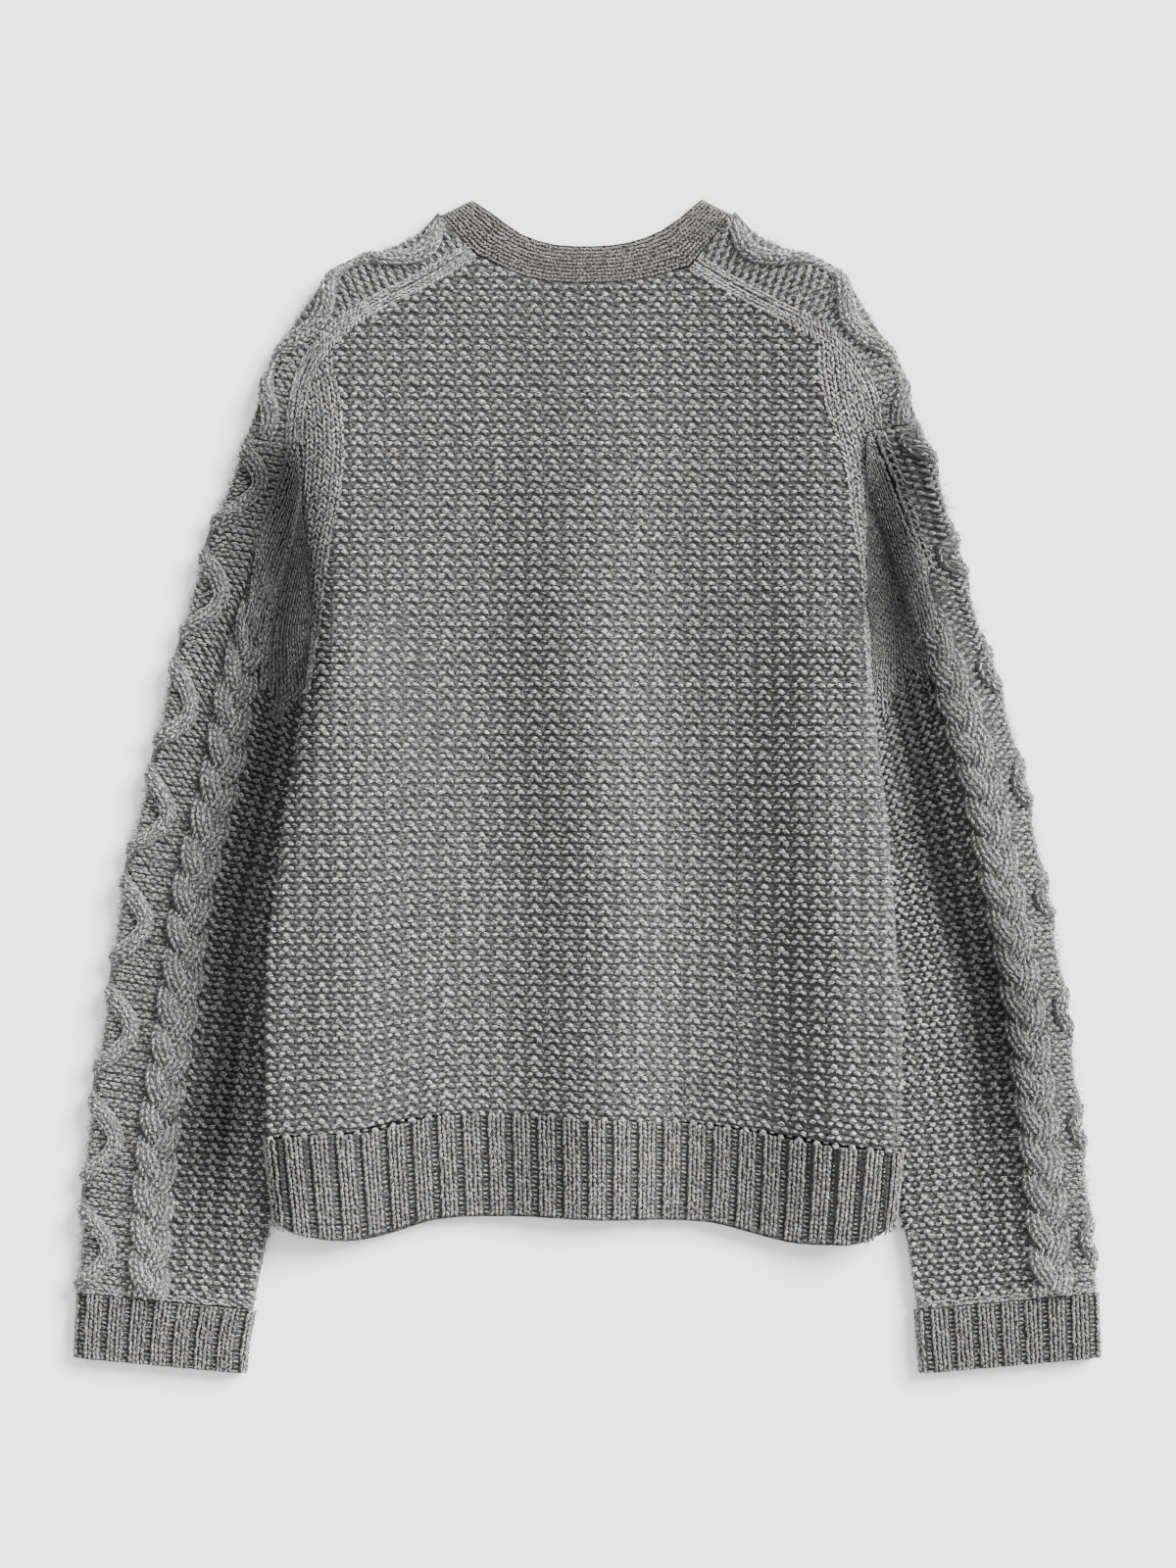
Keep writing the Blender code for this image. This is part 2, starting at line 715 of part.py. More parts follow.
def front_section(side, v):
    """Section of a front's hem rib, from the folded side to the band."""
    sign = SIDES[side]["sign"]
    row, bend = [], []
    start = side_start(side, HEM_LEVEL, 0)[0][0]
    for share in np.linspace(0.0, 1.0, FRONT_SECTIONS):
        x = mix(start, centre_edge(side, HEM_LEVEL), share)
        y = hem_y(x, v, 2.0)
        x = x + (body_edge(side, y) - body_edge(side, HEM_LEVEL)) * (1.0 - share)
        swing = np.clip((sign * (x - body_edge(side, y)) + BODY_ROLL) / BODY_ROLL, 0.0, 0.95)
        fall = np.sqrt(1.0 - swing**2)
        bottom = float(lift(x, y)) + BODY_ROLL * (1.0 - fall)
        row.append(np.array([x, y, bottom + front_rise(side, x, y)]))
        bend.append(np.array([sign * swing, 0.0, -fall]))
    return np.array(row), np.array(bend)


def make_hem_front(side, material):
    length = lengths(front_section(side, 0.0)[0])[-1]
    at = rib_places(0.0, length, RIB_PITCH)
    thickness = RIB + 0.5 * rib_relief(at, RIB_PITCH)
    outer, inner = [], []
    for v in np.linspace(0.0, 1.0, 3):
        points, normals = sampled(*front_section(side, v), at / length)
        outer.append(points)
        inner.append(points - normals * thickness[:, None])
    keys = [every(len(at), 3)] * len(outer)
    wall("hem_front_" + side, outer, inner, material, keys)


# ---- sleeves and cuffs ---------------------------------------------------
def wave_middle(side, y):
    """How far the middle of the wave strand is round from the outer edge."""
    data = SIDES[side]
    swing = 0.5 + 0.5 * np.cos(2.0 * np.pi * (y - data["wave_top"]) / data["wave_pitch"])
    return mix(data["wave_low"], data["wave_high"], swing)


def cable_lines(side, y, row):
    """Ways round the sleeve of the lines that carry the cables, with their relief."""
    hidden = wave_middle(side, y)
    middle = max(hidden, 6.8 - QUARTER)
    height = WAVE * smoothstep((hidden + 10.0) / 6.0)
    strand_lines = [(middle + d, height * strand(d, 0.0, STRAND_HALF)) for d in STRAND_LINES]
    plait = SIDES[side]["plait"]
    plait_lines = [(plait + d, plait_relief(d, row / 4.0)) for d in PLAIT_LINES]
    first, last = strand_lines[0][0], strand_lines[-1][0]
    before = [(mix(UNDER_START, first, share), 0.0) for share in (0.0, 0.3, 0.54, 0.77)]
    between = [(mix(last, plait_lines[0][0], 0.5), 0.0)]
    return before + strand_lines + between + plait_lines


def plain_ways(count, last):
    """Ways round the sleeve of the inner surface's lines, which follow no cable."""
    round_fold = np.append(UNDER_START, np.linspace(-QUARTER, QUARTER, 7))
    return np.concatenate([round_fold, np.linspace(QUARTER, last, count - 7)[1:]])


def plait_relief(offset, crossing):
    """Slanted lobes that lie on the plait in turn from its left and from its right."""
    height = 0.0
    for side, start in ((-1.0, 0.0), (1.0, 0.5)):
        way = (crossing - start + 0.045 * side * (offset - side * 5.0) + 0.5) % 1.0 - 0.5
        lobe = 1.0 - (way / 0.54) ** 2 - ((offset - side * 5.0) / 8.0) ** 2
        height = max(height, np.sqrt(max(lobe, 0.0)))
    return CABLE * height


def sleeve_height(side, a, b, taper):
    """Height of the upper layer: a from the outer edge, b from the inner one."""
    plait = SIDES[side]["plait"]
    crown = 15.6 - 3.4 * taper
    rise = mix(2.0 * SLEEVE_ROLL, crown, smoothstep((a - 6.0) / (plait - 20.0)))
    fallen = mix(rise, 2.0 * SLEEVE_INNER, smoothstep((a - plait) / 36.0))
    return mix(2.0 * SLEEVE_INNER, fallen, smoothstep(b / 20.0))


def sleeve_edges(side):
    """Plan points of the outer edge and of the middle of the inner fold, row by row."""
    outside = [row for row in SIDES[side]["outside"] if row[1] > -303.0]
    outer = along(outside, np.linspace(0.0, 1.0, SLEEVE_ROWS) ** 0.94)
    ys = np.linspace(UNDERARM_Y, -312.2, SLEEVE_ROWS)
    edge = np.column_stack([sleeve_inside(side, ys), ys])
    edge = polyline(edge, np.linspace(0.0, 1.0, SLEEVE_ROWS) ** 1.25)
    folds = pushed(edge, SLEEVE_INNER * SIDES[side]["sign"])
    return outer, folds, (edge - folds) / SLEEVE_INNER


def armhole_curves(side):
    """Upper and lower edge of the sleeve at the armhole, and where the upper one turns."""
    data = SIDES[side]
    sign = data["sign"]
    start = np.array(data["shoulder"][0]) + np.array([0.0, -SEAM])
    corner = np.array([data["chain"][0][0] + sign * 1.2, data["chain"][0][1] - SEAM])
    end = sleeve_edges(side)[1][0]
    ys = np.linspace(corner[1] - 6.0, UNDERARM_Y + 8.0, 9)
    cut_back = BODY_ROLL * (1.0 - np.sin(np.radians(50.0))) - SEAM
    seam = np.column_stack([body_edge(side, ys) - sign * cut_back, ys])
    upper = np.vstack([start, corner, seam, end])
    ys = np.linspace(start[1], UNDERARM_Y + 2.0, 16)
    front = np.column_stack([read(data["armhole"], ys, 1, 0), ys])
    lower = np.vstack([start, pushed(front, 2.4 * SEAM * sign)[1:], end])
    turn = np.linalg.norm(corner - start) / lengths(upper)[-1]
    return upper, lower, turn


def polyline(points, fractions):
    run = lengths(points)
    want = np.asarray(fractions) * run[-1]
    return np.column_stack([np.interp(want, run, points[:, k]) for k in (0, 1)])


class Ring:
    """One section of a sleeve, between an outer and an inner edge point."""

    def __init__(self, side, row, start, end, aside, curves):
        self.side, self.row, self.start, self.end, self.aside = side, row, start, end, aside
        self.upper, self.lower, self.turn = curves
        t = row / (SLEEVE_ROWS - 1.0)
        self.taper = smoothstep((t - 0.8) / 0.2) + 0.8 * (1.0 - smoothstep(t / 0.12))
        self.fade = smoothstep(t / 0.02) * smoothstep((1.0 - t) / 0.012)
        self.reach = smoothstep((row - 3.0) / 9.0)
        self.bow = self.bowed(0.0)
        self.width = np.linalg.norm(end - start)
        self.chord = (end - start) / self.width
        head = self.upper[1] - self.upper[0]
        ahead = mix(self.chord, head / np.linalg.norm(head), self.bow)
        self.ahead = ahead / np.linalg.norm(ahead)

    def bowed(self, t):
        """How much the armhole still bends a row; this ends first by the inner fold."""
        return 1.0 - smoothstep(self.row / mix(38.0, 5.0, t))

    def plan(self, distance, curve, turn):
        """Place in plan, a distance across; the armhole curve bends the first rows."""
        split = SIDES[self.side]["plait"] - PLAIT_HALF - 2.0
        if distance < split:
            turned = turn * distance / split
        else:
            turned = mix(turn, 1.0, (distance - split) / (self.width - split))
        t = mix(distance / self.width, turned, self.bow)
        bent = polyline(curve, [t])[0] - mix(curve[0], curve[-1], t)
        return mix(self.start, self.end, t) + self.bowed(t) * bent

    def outer_fold(self, way):
        angle = way / SLEEVE_ROLL
        normal = np.append(-self.ahead * np.cos(angle), np.sin(angle))
        centre = np.append(self.start + self.ahead * SLEEVE_ROLL, SLEEVE_ROLL)
        return centre + SLEEVE_ROLL * normal, normal

    def inner_fold(self, degrees, radius, width, shift):
        """Point round the inner fold, which is pressed flat at the armhole."""
        angle = np.radians(degrees)
        across = shift + width * np.cos(angle)
        return np.append(self.end + self.aside * across, SLEEVE_INNER + radius * np.sin(angle))

    def top(self, distance):
        x, y = self.plan(distance, self.upper, self.turn)
        z = float(sleeve_height(self.side, distance, self.width - distance, self.taper))
        return np.array([x, y, z]), np.array([0.0, 0.0, 1.0])

    def across(self, way):
        if way < -QUARTER:
            x, y = self.plan(SLEEVE_ROLL - QUARTER - way, self.lower, 0.3)
            return np.array([x, y, 0.0]), np.array([0.0, 0.0, -1.0])
        if way <= QUARTER:
            return self.outer_fold(way)
        return self.top(way - QUARTER + SLEEVE_ROLL)

    def under(self, share):
        distance = mix(SLEEVE_ROLL, self.width, share)
        x, y = self.plan(distance, self.lower, 0.3)
        return np.array([x, y, 0.0]), np.array([0.0, 0.0, -1.0]), distance

    def section(self):
        """Outer and inner points all round, from under the outer edge."""
        outer, inner = [], []
        lines = cable_lines(self.side, self.start[1], self.row)
        for way, relief in lines:
            point, normal = self.across(way)
            if normal[2] < 0.0:
                relief = min(relief, -0.9 * point[2] / normal[2])
            outer.append(point + normal * relief * self.fade)
        last = lines[-1][0]
        for way in plain_ways(len(lines), last):
            point, normal = self.across(way)
            inner.append(point - normal * KNIT)
        reach = last - QUARTER + SLEEVE_ROLL
        for share in FAR_SHARES:
            point, normal = self.top(mix(reach, self.width, share))
            outer.append(point)
            inner.append(point - normal * KNIT)
        hollow, width = SLEEVE_INNER - KNIT, SLEEVE_INNER * self.reach
        shift = width - mix(1.2, KNIT, self.reach) - hollow
        inner[-1][:2] += self.aside * shift
        for degrees in (45.0, 0.0, -45.0, -90.0):
            outer.append(self.inner_fold(degrees, SLEEVE_INNER, width, 0.0))
            inner.append(self.inner_fold(degrees, hollow, hollow, shift))
        for share in (0.83, 0.66, 0.5, 0.34, 0.17):
            point, normal, distance = self.under(share)
            outer.append(point)
            inner.append(point - normal * self.under_thickness(distance))
        return outer, inner

    def under_thickness(self, distance):
        """The under layer is thicker where its own plait is pressed into it."""
        middle = SIDES[self.side]["plait"]
        return KNIT + 3.2 * (1.0 - 0.8 * self.taper) * np.exp(-((distance - middle) / 20.0) ** 2)


def make_sleeve(side, material):
    outer_edge, inner_edge, asides = sleeve_edges(side)
    curves = armhole_curves(side)
    outer_edge[0] = curves[0][0]
    outer, inner = [], []
    for row, (start, end, aside) in enumerate(zip(outer_edge, inner_edge, asides)):
        ring = Ring(side, row, start, end, aside, curves).section()
        outer.append(ring[0])
        inner.append(ring[1])
    outer = np.swapaxes(np.array(outer), 0, 1)
    inner = np.swapaxes(np.array(inner), 0, 1)
    sparse = [0, 1, 3, 5, 8, 12, 16, 20, 26] + every(SLEEVE_ROWS, 8)[4:]
    half, full = every(SLEEVE_ROWS, 2), every(SLEEVE_ROWS, 1)
    keys = [sparse] + [half] * 3 + [full] * len(STRAND_LINES) + [half] + [full] * len(PLAIT_LINES)
    keys = keys + [full] + [sparse] * (len(outer) - len(keys) - 1)
    wall("sleeve_" + side, outer, inner, material, keys, [sparse] * len(outer), closed=True)


def make_cuff(side, material):
    outside = [row for row in SIDES[side]["outside"] if row[1] < -300.0]
    outer, inner, rings = [], [], []
    for v in (0.0, 1.0):
        edge_y = mix(-302.4, -341.0, v)
        inner_y = mix(-312.6, -350.3, v)
        start = np.array([float(read(outside, edge_y, 1, 0)), edge_y])
        end = np.array([float(sleeve_inside(side, inner_y)), inner_y])
        rings.append(cuff_ring(start, end))
    for points, normals, at, total in rings:
        relief = RIDGE * rib_relief(at, total / CUFF_RIDGES)
        relief = np.where(normals[:, 2] < -0.2, 0.0, relief)
        ring_outer, ring_inner = thicker(points, normals, RIB, relief)
        outer.append(ring_outer)
        inner.append(ring_inner)
    outer = np.swapaxes(np.array(outer), 0, 1)
    inner = np.swapaxes(np.array(inner), 0, 1)
    wall("cuff_" + side, outer, inner, material, closed=True)


def cuff_ring(start, end):
    """A flattened ring, with points at the foot and the top of each ridge."""
    radius = SLEEVE_INNER
    chord = end - start
    width = np.linalg.norm(chord)
    ahead = chord / width
    points, normals = [], []
    for angle in np.radians(np.arange(-90.0, 91.0, 10.0)):
        normals.append(np.append(-ahead * np.cos(angle), np.sin(angle)))
        points.append(np.append(start + ahead * radius, radius) + radius * normals[-1])
    for angle in np.radians(np.arange(90.0, -91.0, -10.0)):
        normals.append(np.append(ahead * np.cos(angle), np.sin(angle)))
        points.append(np.append(end - ahead * radius, radius) + radius * normals[-1])
    points, normals = np.array(points + points[:1]), np.array(normals + normals[:1])
    run = lengths(points)
    total = run[-1]
    pitch = total / CUFF_RIDGES
    at = np.array([(k + step) * pitch for k in range(CUFF_RIDGES) for step in (0.0, 0.24, 0.76)])
    picked = np.column_stack([np.interp(at, run, points[:, k]) for k in range(3)])
    bend = np.column_stack([np.interp(at, run, normals[:, k]) for k in range(3)])
    return picked, bend, at, total


# ---- neckband and front bands --------------------------------------------
def front_end(side):
    """The end of a front at the neck, from its fold to the seam of the back."""
    fold_line, across, width = shoulder_turn(side, (0.0, 1.0))
    return fold_line[-1], fold_line[-1] + across[-1] * width[-1]


def neck_paths():
    """The seam and the free edge of the neckband, with matching points."""
    (left_fold, left_seam), (right_fold, right_seam) = front_end("left"), front_end("right")
    xs = np.linspace(NECK_SEAM[0][0], NECK_SEAM[-1][0], NECK_COLUMNS)
    back = np.column_stack([xs, read(NECK_SEAM, xs)])
    share = np.array([0.0, 0.25, 0.6])[:, None]
    start, finish = mix(left_fold, left_seam, share), mix(right_fold, right_seam, share)[::-1]
    seam = np.vstack([start, back, finish])
    run = lengths(seam)
    seam = pushed(seam, SEAM)
    for corner, way in ((3, 1.0), (-4, -1.0)):
        seam[corner] = back[corner - 3 if way > 0.0 else corner + 3] + np.array([way * 0.3, 0.9])
    return seam, along(NECK_EDGE, run / run[-1])


def band_line(path):
    """The neckband along one plan path: under, round the fold, across, and back under."""
    rounds = []
    for end, ahead in ((path[0], path[1] - path[0]), (path[-1], path[-2] - path[-1])):
        ahead = ahead / np.linalg.norm(ahead)
        centre = np.append(end + ahead * NECK_ROLL, NECK_ROLL)
        points, normals = [], []
        for angle in np.radians((-90.0, -45.0, 0.0, 45.0, 90.0)):
            normals.append(np.append(-ahead * np.cos(angle), np.sin(angle)))
            points.append(centre + NECK_ROLL * normals[-1])
        points.insert(0, points[0] + np.append(ahead * NECK_UNDER, 0.0))
        normals.insert(0, normals[0])
        rounds.append((points, normals))
    middle = [np.append(point, neckband_height(point)) for point in path[2:-2]]
    up = [np.array([0.0, 0.0, 1.0])] * len(middle)
    points = rounds[0][0] + middle + rounds[1][0][::-1]
    return points, rounds[0][1] + up + rounds[1][1][::-1]


def neckband_height(point):
    return NECK_FLAT - NECK_SAG * np.exp(-(point[0] / 50.0) ** 2)


def make_neckband(material):
    seam, edge = neck_paths()
    lines = [band_line(mix(seam, edge, w)) for w in (0.0, 0.5, 1.0)]
    points = np.array([line[0] for line in lines])
    normals = np.array([line[1] for line in lines])
    outer, inner = thicker(points, normals, FINE)
    wall("neckband", outer, inner, material)


def under_end(side):
    """The two corners of the neckband's end beneath a shoulder."""
    corners = []
    for path in neck_paths():
        path = path if side == "left" else path[::-1]
        ahead = (path[1] - path[0]) / np.linalg.norm(path[1] - path[0])
        corners.append(path[0] + ahead * (NECK_ROLL + NECK_UNDER + SEAM))
    return corners


def band_seam(side):
    """The seam of a front band: up the hem rib, then along the front."""
    fold_line, across, _ = shoulder_turn(side, (0.0, 1.0))
    rows = [front_lower(side, 1.0, q, fold_line[-1], across[-1]) for q in front_rows(side)]
    rows = pushed(np.array(rows), SEAM * SIDES[side]["sign"])
    keep = [row for row in rows if row[1] < under_end(side)[0][1] - 8.0]
    foot = [np.array([keep[0][0], y]) for y in (-253.0, -225.0)]
    return np.array(foot + keep)


def make_band(side, material):
    """A front band: straight up the centre, then along the V neck to the shoulder."""
    sign = SIDES[side]["sign"]
    level = BAND_STEP if side == "right" else BAND_STEP + FINE + 0.4
    seam = band_seam(side)
    corner, far_corner = under_end(side)
    rows = []
    for w in (0.0, 0.5, 1.0):
        row = []
        for point in seam:
            lean = smoothstep((point[1] - V_POINT_Y + 20.0) / 60.0)
            straight = mix(np.array([-sign, 0.0]), np.array([-sign * 0.94, 0.34]), lean)
            late = smoothstep((point[1] - 270.0) / 70.0)
            across = mix(straight * 2.0 * BAND_HALF, far_corner - corner, late)
            x, y = point + across * w
            row.append(np.array([x, y, mix(level, 0.5, apart(y))]))
        row.append(np.append(mix(corner, far_corner, w), 0.5))
        rows.append(row)
    outer = np.array(rows)
    wall("band_" + side, outer, outer + np.array([0.0, 0.0, FINE]), material)


def make_button(number, y, material):
    """A plain round button with a raised rim; its face is towards the ground."""
    shape = bmesh.new()
    rings = []
    for radius, z in BUTTON_PROFILE:
        angles = 2.0 * np.pi * np.arange(BUTTON_STEPS) / BUTTON_STEPS
        ring = [(radius * np.cos(angle), y + radius * np.sin(angle), z) for angle in angles]
        rings.append([shape.verts.new([MM * value for value in point]) for point in ring])
    for low, high in zip(rings, rings[1:]):
        for k in range(BUTTON_STEPS):
            n = (k + 1) % BUTTON_STEPS
            shape.faces.new((low[k], low[n], high[n], high[k]))
    shape.faces.new(rings[0])
    shape.faces.new(rings[-1])
    mesh = bpy.data.meshes.new("button_%d" % number)
    shape.to_mesh(mesh)
    shape.free()
    face_outwards(mesh)
    mesh.materials.append(material)
    mesh.shade_smooth()
    mesh.set_sharp_from_angle(angle=0.7)
    piece = bpy.data.objects.new("button_%d" % number, mesh)
    bpy.context.scene.collection.objects.link(piece)


# ---- materials -----------------------------------------------------------
def add_material(name, colour, roughness):
    material = bpy.data.materials.new(name)
    material.use_nodes = True
    shader = material.node_tree.nodes["Principled BSDF"]
    shader.inputs["Base Color"].default_value = colour
    shader.inputs["Roughness"].default_value = roughness
    shader.inputs["Metallic"].default_value = 0.0
    return material


def main():
    for piece in list(bpy.data.objects):
        bpy.data.objects.remove(piece, do_unlink=True)
    knit = add_material("chunky_knit", MELANGE, 0.9)
    band = add_material("fine_knit", MELANGE_BAND, 0.9)
    horn = add_material("button", BUTTON_GREY, 0.4)
    make_back(knit)
    make_hem_back(knit)
    for side in SIDES:
        make_front(side, knit)
        make_hem_front(side, knit)
        make_sleeve(side, knit)
        make_cuff(side, knit)
        make_band(side, band)
    make_neckband(band)
    for number, y in enumerate(BUTTON_YS, 1):
        make_button(number, y, horn)


main()
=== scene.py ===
"""Looks of the cable knit cardigan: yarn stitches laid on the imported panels.

Every size is in millimetres until MM turns it into metres. The outlines and
the curves that shape the panels are the same named values as in the CAD part.
A surface is any function of (u, v) in millimetres that gives points in space.
"""
import json
import math

import bmesh
import bpy
import numpy as np
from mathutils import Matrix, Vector

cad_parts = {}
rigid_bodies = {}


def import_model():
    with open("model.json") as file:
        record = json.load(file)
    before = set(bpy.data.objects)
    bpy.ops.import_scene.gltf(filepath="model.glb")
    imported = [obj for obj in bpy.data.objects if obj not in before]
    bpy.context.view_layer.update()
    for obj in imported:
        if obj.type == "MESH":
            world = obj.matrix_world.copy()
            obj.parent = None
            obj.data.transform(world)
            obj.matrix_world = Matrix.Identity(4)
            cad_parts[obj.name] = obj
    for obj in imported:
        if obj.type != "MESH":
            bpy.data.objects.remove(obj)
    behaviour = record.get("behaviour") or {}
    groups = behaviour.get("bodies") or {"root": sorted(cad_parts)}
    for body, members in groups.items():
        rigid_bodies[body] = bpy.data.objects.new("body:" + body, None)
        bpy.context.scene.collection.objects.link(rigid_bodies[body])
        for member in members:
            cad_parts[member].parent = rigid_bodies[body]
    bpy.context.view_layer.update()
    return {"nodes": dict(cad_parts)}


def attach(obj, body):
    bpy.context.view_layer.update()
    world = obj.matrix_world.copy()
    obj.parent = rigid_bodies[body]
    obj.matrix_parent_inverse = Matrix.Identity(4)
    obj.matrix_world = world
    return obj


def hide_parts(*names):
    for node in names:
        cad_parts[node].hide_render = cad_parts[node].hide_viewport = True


MM = 0.001
CHANCE = np.random.default_rng(7)

# ---- the panels' sizes, mm -----------------------------------------------
CABLE = 4.4           # height of the plait cable
KNIT = 4.5            # wall of the chunky knit
SEAM = 0.4            # gap left between two pieces at a seam
LAYERS = 1.1          # air between the front and the back
SIDE_AIR = 2.2        # more air between them beside the folded edges
BODY_ROLL = 6.0       # outer radius of the folded side edge of the body
SLEEVE_ROLL = 6.0     # outer radius of the outer edge of a sleeve
SLEEVE_INNER = 5.0    # outer radius of the inner edge of a sleeve
SHOULDER = 12.4       # height of the edge where a front turns over the shoulder
LIFT = 10.9           # how far a sleeve raises the side of the body
LIFT_SPAN = 70.0      # width over which the body comes down from it
BAND_HALF = 14.0      # half the width of a front band
WAVE = 2.6            # height of the wave cable
RIDGE = 1.8           # height of a rib
UNDERARM_Y = 100.0    # where the folded side of the body begins
RISE = 36.0           # length over which the body climbs onto the sleeve
V_POINT_Y = 139.0     # bottom of the V neck
PLAIT_HALF = 12.0     # half the width of the plait
RIB_PITCH = 15.0      # from one ridge of the hem to the next
CUFF_RIDGES = 16      # round the whole cuff
QUARTER = SLEEVE_ROLL * np.pi / 2.0     # length of a quarter of the outer fold
SLEEVE_ROWS = 105     # a plait crossing takes four of them
NECK_COLUMNS = 10     # points along the neck seam
APART_Y = 172.0       # from here up the front bands come apart, and are apart after the span
APART_SPAN = 60.0
BAND_RISE = 2.8       # how far the bands, one on the other, raise the back
NECK_DIP = 4.4        # how deep the back sags into the neck opening
SLEEVE_CROWN = 15.6   # greatest height of a sleeve, and how much less it is at both ends
CROWN_FALL = 3.4
NECK_ROLL = 4.3       # outer radius of the neckband's fold over the shoulder
NECK_FLAT = 8.6       # height of the neckband by the shoulder
NECK_SAG = 3.4        # how much lower it lies at the middle of the back
NECK_UNDER = 3.0      # how far it reaches under the fold
HEM_TOP = -205.0      # y of the hem rib's seam, and of its edge, on the whole
HEM_LOW = -262.0
CUFF_OUTER = (-302.4, -341.0)      # y of a cuff's seam and end, at its outer edge
CUFF_INNER = (-312.6, -350.3)      # and at its inner edge

BODY_SIDE = (         # y, left edge x, right edge x
    (-262.0, -184.6, 181.6), (-242.0, -186.8, 183.9), (-215.0, -189.7, 186.2),
    (-169.0, -192.1, 188.0), (-102.0, -190.3, 185.1), (-34.0, -182.7, 179.8),
    (8.0, -175.7, 175.7), (38.0, -170.5, 171.6), (67.0, -165.8, 168.7),
    (100.0, -164.0, 168.1), (141.0, -168.7, 168.1), (176.0, -172.2, 168.1),
    (212.0, -172.2, 168.1),
)
SLEEVE_INSIDE = (     # y, left inner edge x, right inner edge x
    (-350.0, -205.0, 200.5), (-330.0, -203.4, 198.8), (-312.0, -199.4, 197.4),
    (-290.0, -195.4, 194.4), (-271.0, -191.2, 191.2), (-258.0, -187.0, 187.0),
    (-242.0, -183.0, 183.0), (-215.0, -176.0, 176.5), (-169.0, -165.0, 167.0),
    (-102.0, -148.0, 152.0), (-70.0, -143.0, 145.5), (-34.0, -138.7, 141.0),
    (8.0, -139.5, 142.5), (40.0, -149.0, 152.0), (68.0, -157.6, 160.6),
    (84.0, -160.0, 163.2), (100.0, -160.2, 163.6),
)
SLEEVE_OUTSIDE_LEFT = (   # x, y down the outer edge, from shoulder to cuff
    (-203.2, 208.0), (-212.0, 180.0), (-221.0, 158.0), (-233.0, 121.0),
    (-240.0, 92.0), (-248.5, 62.0), (-255.5, 27.0), (-262.5, -2.0),
    (-276.0, -60.0), (-283.0, -115.0), (-289.0, -153.0), (-296.5, -207.0),
    (-301.0, -267.0), (-302.6, -302.0), (-304.55, -342.0),
)
SLEEVE_OUTSIDE_RIGHT = (
    (197.4, 217.0), (207.6, 190.0), (216.2, 158.0), (231.2, 104.0),
    (247.0, 53.0), (257.2, 17.0), (267.0, -30.0), (278.4, -89.0),
    (287.2, -144.0), (294.2, -205.0), (298.0, -241.0), (301.4, -280.0),
    (303.6, -302.0), (304.8, -342.0),
)
SHOULDER_LEFT = (     # x, y of the fold over the shoulder, sleeve to neck
    (-203.2, 208.0), (-187.0, 250.0), (-167.4, 286.5), (-150.4, 305.0),
    (-128.5, 316.0), (-98.5, 331.0), (-87.4, 340.5),
)
SHOULDER_RIGHT = (
    (197.4, 217.0), (184.0, 250.0), (167.2, 282.5), (153.8, 301.0),
    (128.0, 316.0), (100.0, 330.0), (86.8, 341.0),
)
CHAIN_LEFT = (        # x, y of the seam behind the shoulder, sleeve to neck
    (-171.4, 203.0), (-169.6, 225.0), (-165.6, 242.0), (-159.0, 255.0),
    (-146.0, 270.0), (-120.5, 287.0), (-98.5, 298.0), (-66.2, 316.6),
)
CHAIN_RIGHT = (
    (167.6, 211.0), (165.0, 231.0), (156.5, 248.5), (146.0, 261.0),
    (128.0, 273.0), (107.0, 284.0), (81.0, 298.0), (61.4, 309.6),
)
NECK_SEAM = (         # x, y from left to right
    (-66.2, 316.6), (-51.0, 310.0), (-40.0, 304.8), (-18.0, 300.7),
    (3.0, 300.4), (24.0, 301.2), (43.0, 305.0), (61.4, 309.6),
)
NECK_EDGE = (
    (-68.9, 349.7), (-55.5, 341.0), (-40.3, 330.0), (-23.9, 324.2),
    (0.0, 322.4), (22.8, 324.2), (43.2, 331.0), (56.0, 339.4),
    (68.3, 350.3),
)
HEM_SEAM = (          # x, y of the seam above the hem rib
    (-195.0, -210.6), (-160.0, -207.4), (-130.0, -206.6), (-102.0, -199.4),
    (-75.0, -195.8), (-34.0, -196.4), (10.0, -199.2), (55.0, -200.8),
    (100.0, -206.8), (130.0, -212.2), (195.0, -218.4),
)
HEM_EDGE = (          # x, y of the lower edge of the hem rib
    (-195.0, -254.0), (-182.0, -264.0), (-166.0, -268.6), (-139.0, -270.4),
    (-120.0, -266.4), (-97.0, -259.4), (-52.0, -256.4), (10.0, -258.8),
    (55.0, -258.8), (78.0, -260.6), (100.0, -266.2), (124.0, -272.0),
    (146.0, -273.0), (166.0, -271.6), (178.0, -266.0), (195.0, -254.0),
)
FRONT_ARMHOLE_LEFT = (    # x, y of the front edge of the armhole, upwards
    (-163.6, 100.0), (-163.6, 130.0), (-170.0, 158.0), (-184.0, 184.0),
    (-203.2, 208.0),
)
FRONT_ARMHOLE_RIGHT = (
    (167.7, 100.0), (167.0, 132.0), (170.6, 160.0), (181.0, 189.0),
    (197.4, 217.0),
)
SIDES = {
    "left": {
        "sign": -1, "column": 1, "outside": SLEEVE_OUTSIDE_LEFT,
        "shoulder": SHOULDER_LEFT, "chain": CHAIN_LEFT, "armhole": FRONT_ARMHOLE_LEFT,
        "plait": 45.0, "wave_low": -2.0, "wave_high": 20.0, "wave_top": 50.0, "wave_pitch": 65.0,
    },
    "right": {
        "sign": 1, "column": 2, "outside": SLEEVE_OUTSIDE_RIGHT,
        "shoulder": SHOULDER_RIGHT, "chain": CHAIN_RIGHT, "armhole": FRONT_ARMHOLE_RIGHT,
        "plait": 29.0, "wave_low": -14.0, "wave_high": 7.0, "wave_top": 70.0, "wave_pitch": 68.0,
    },
}

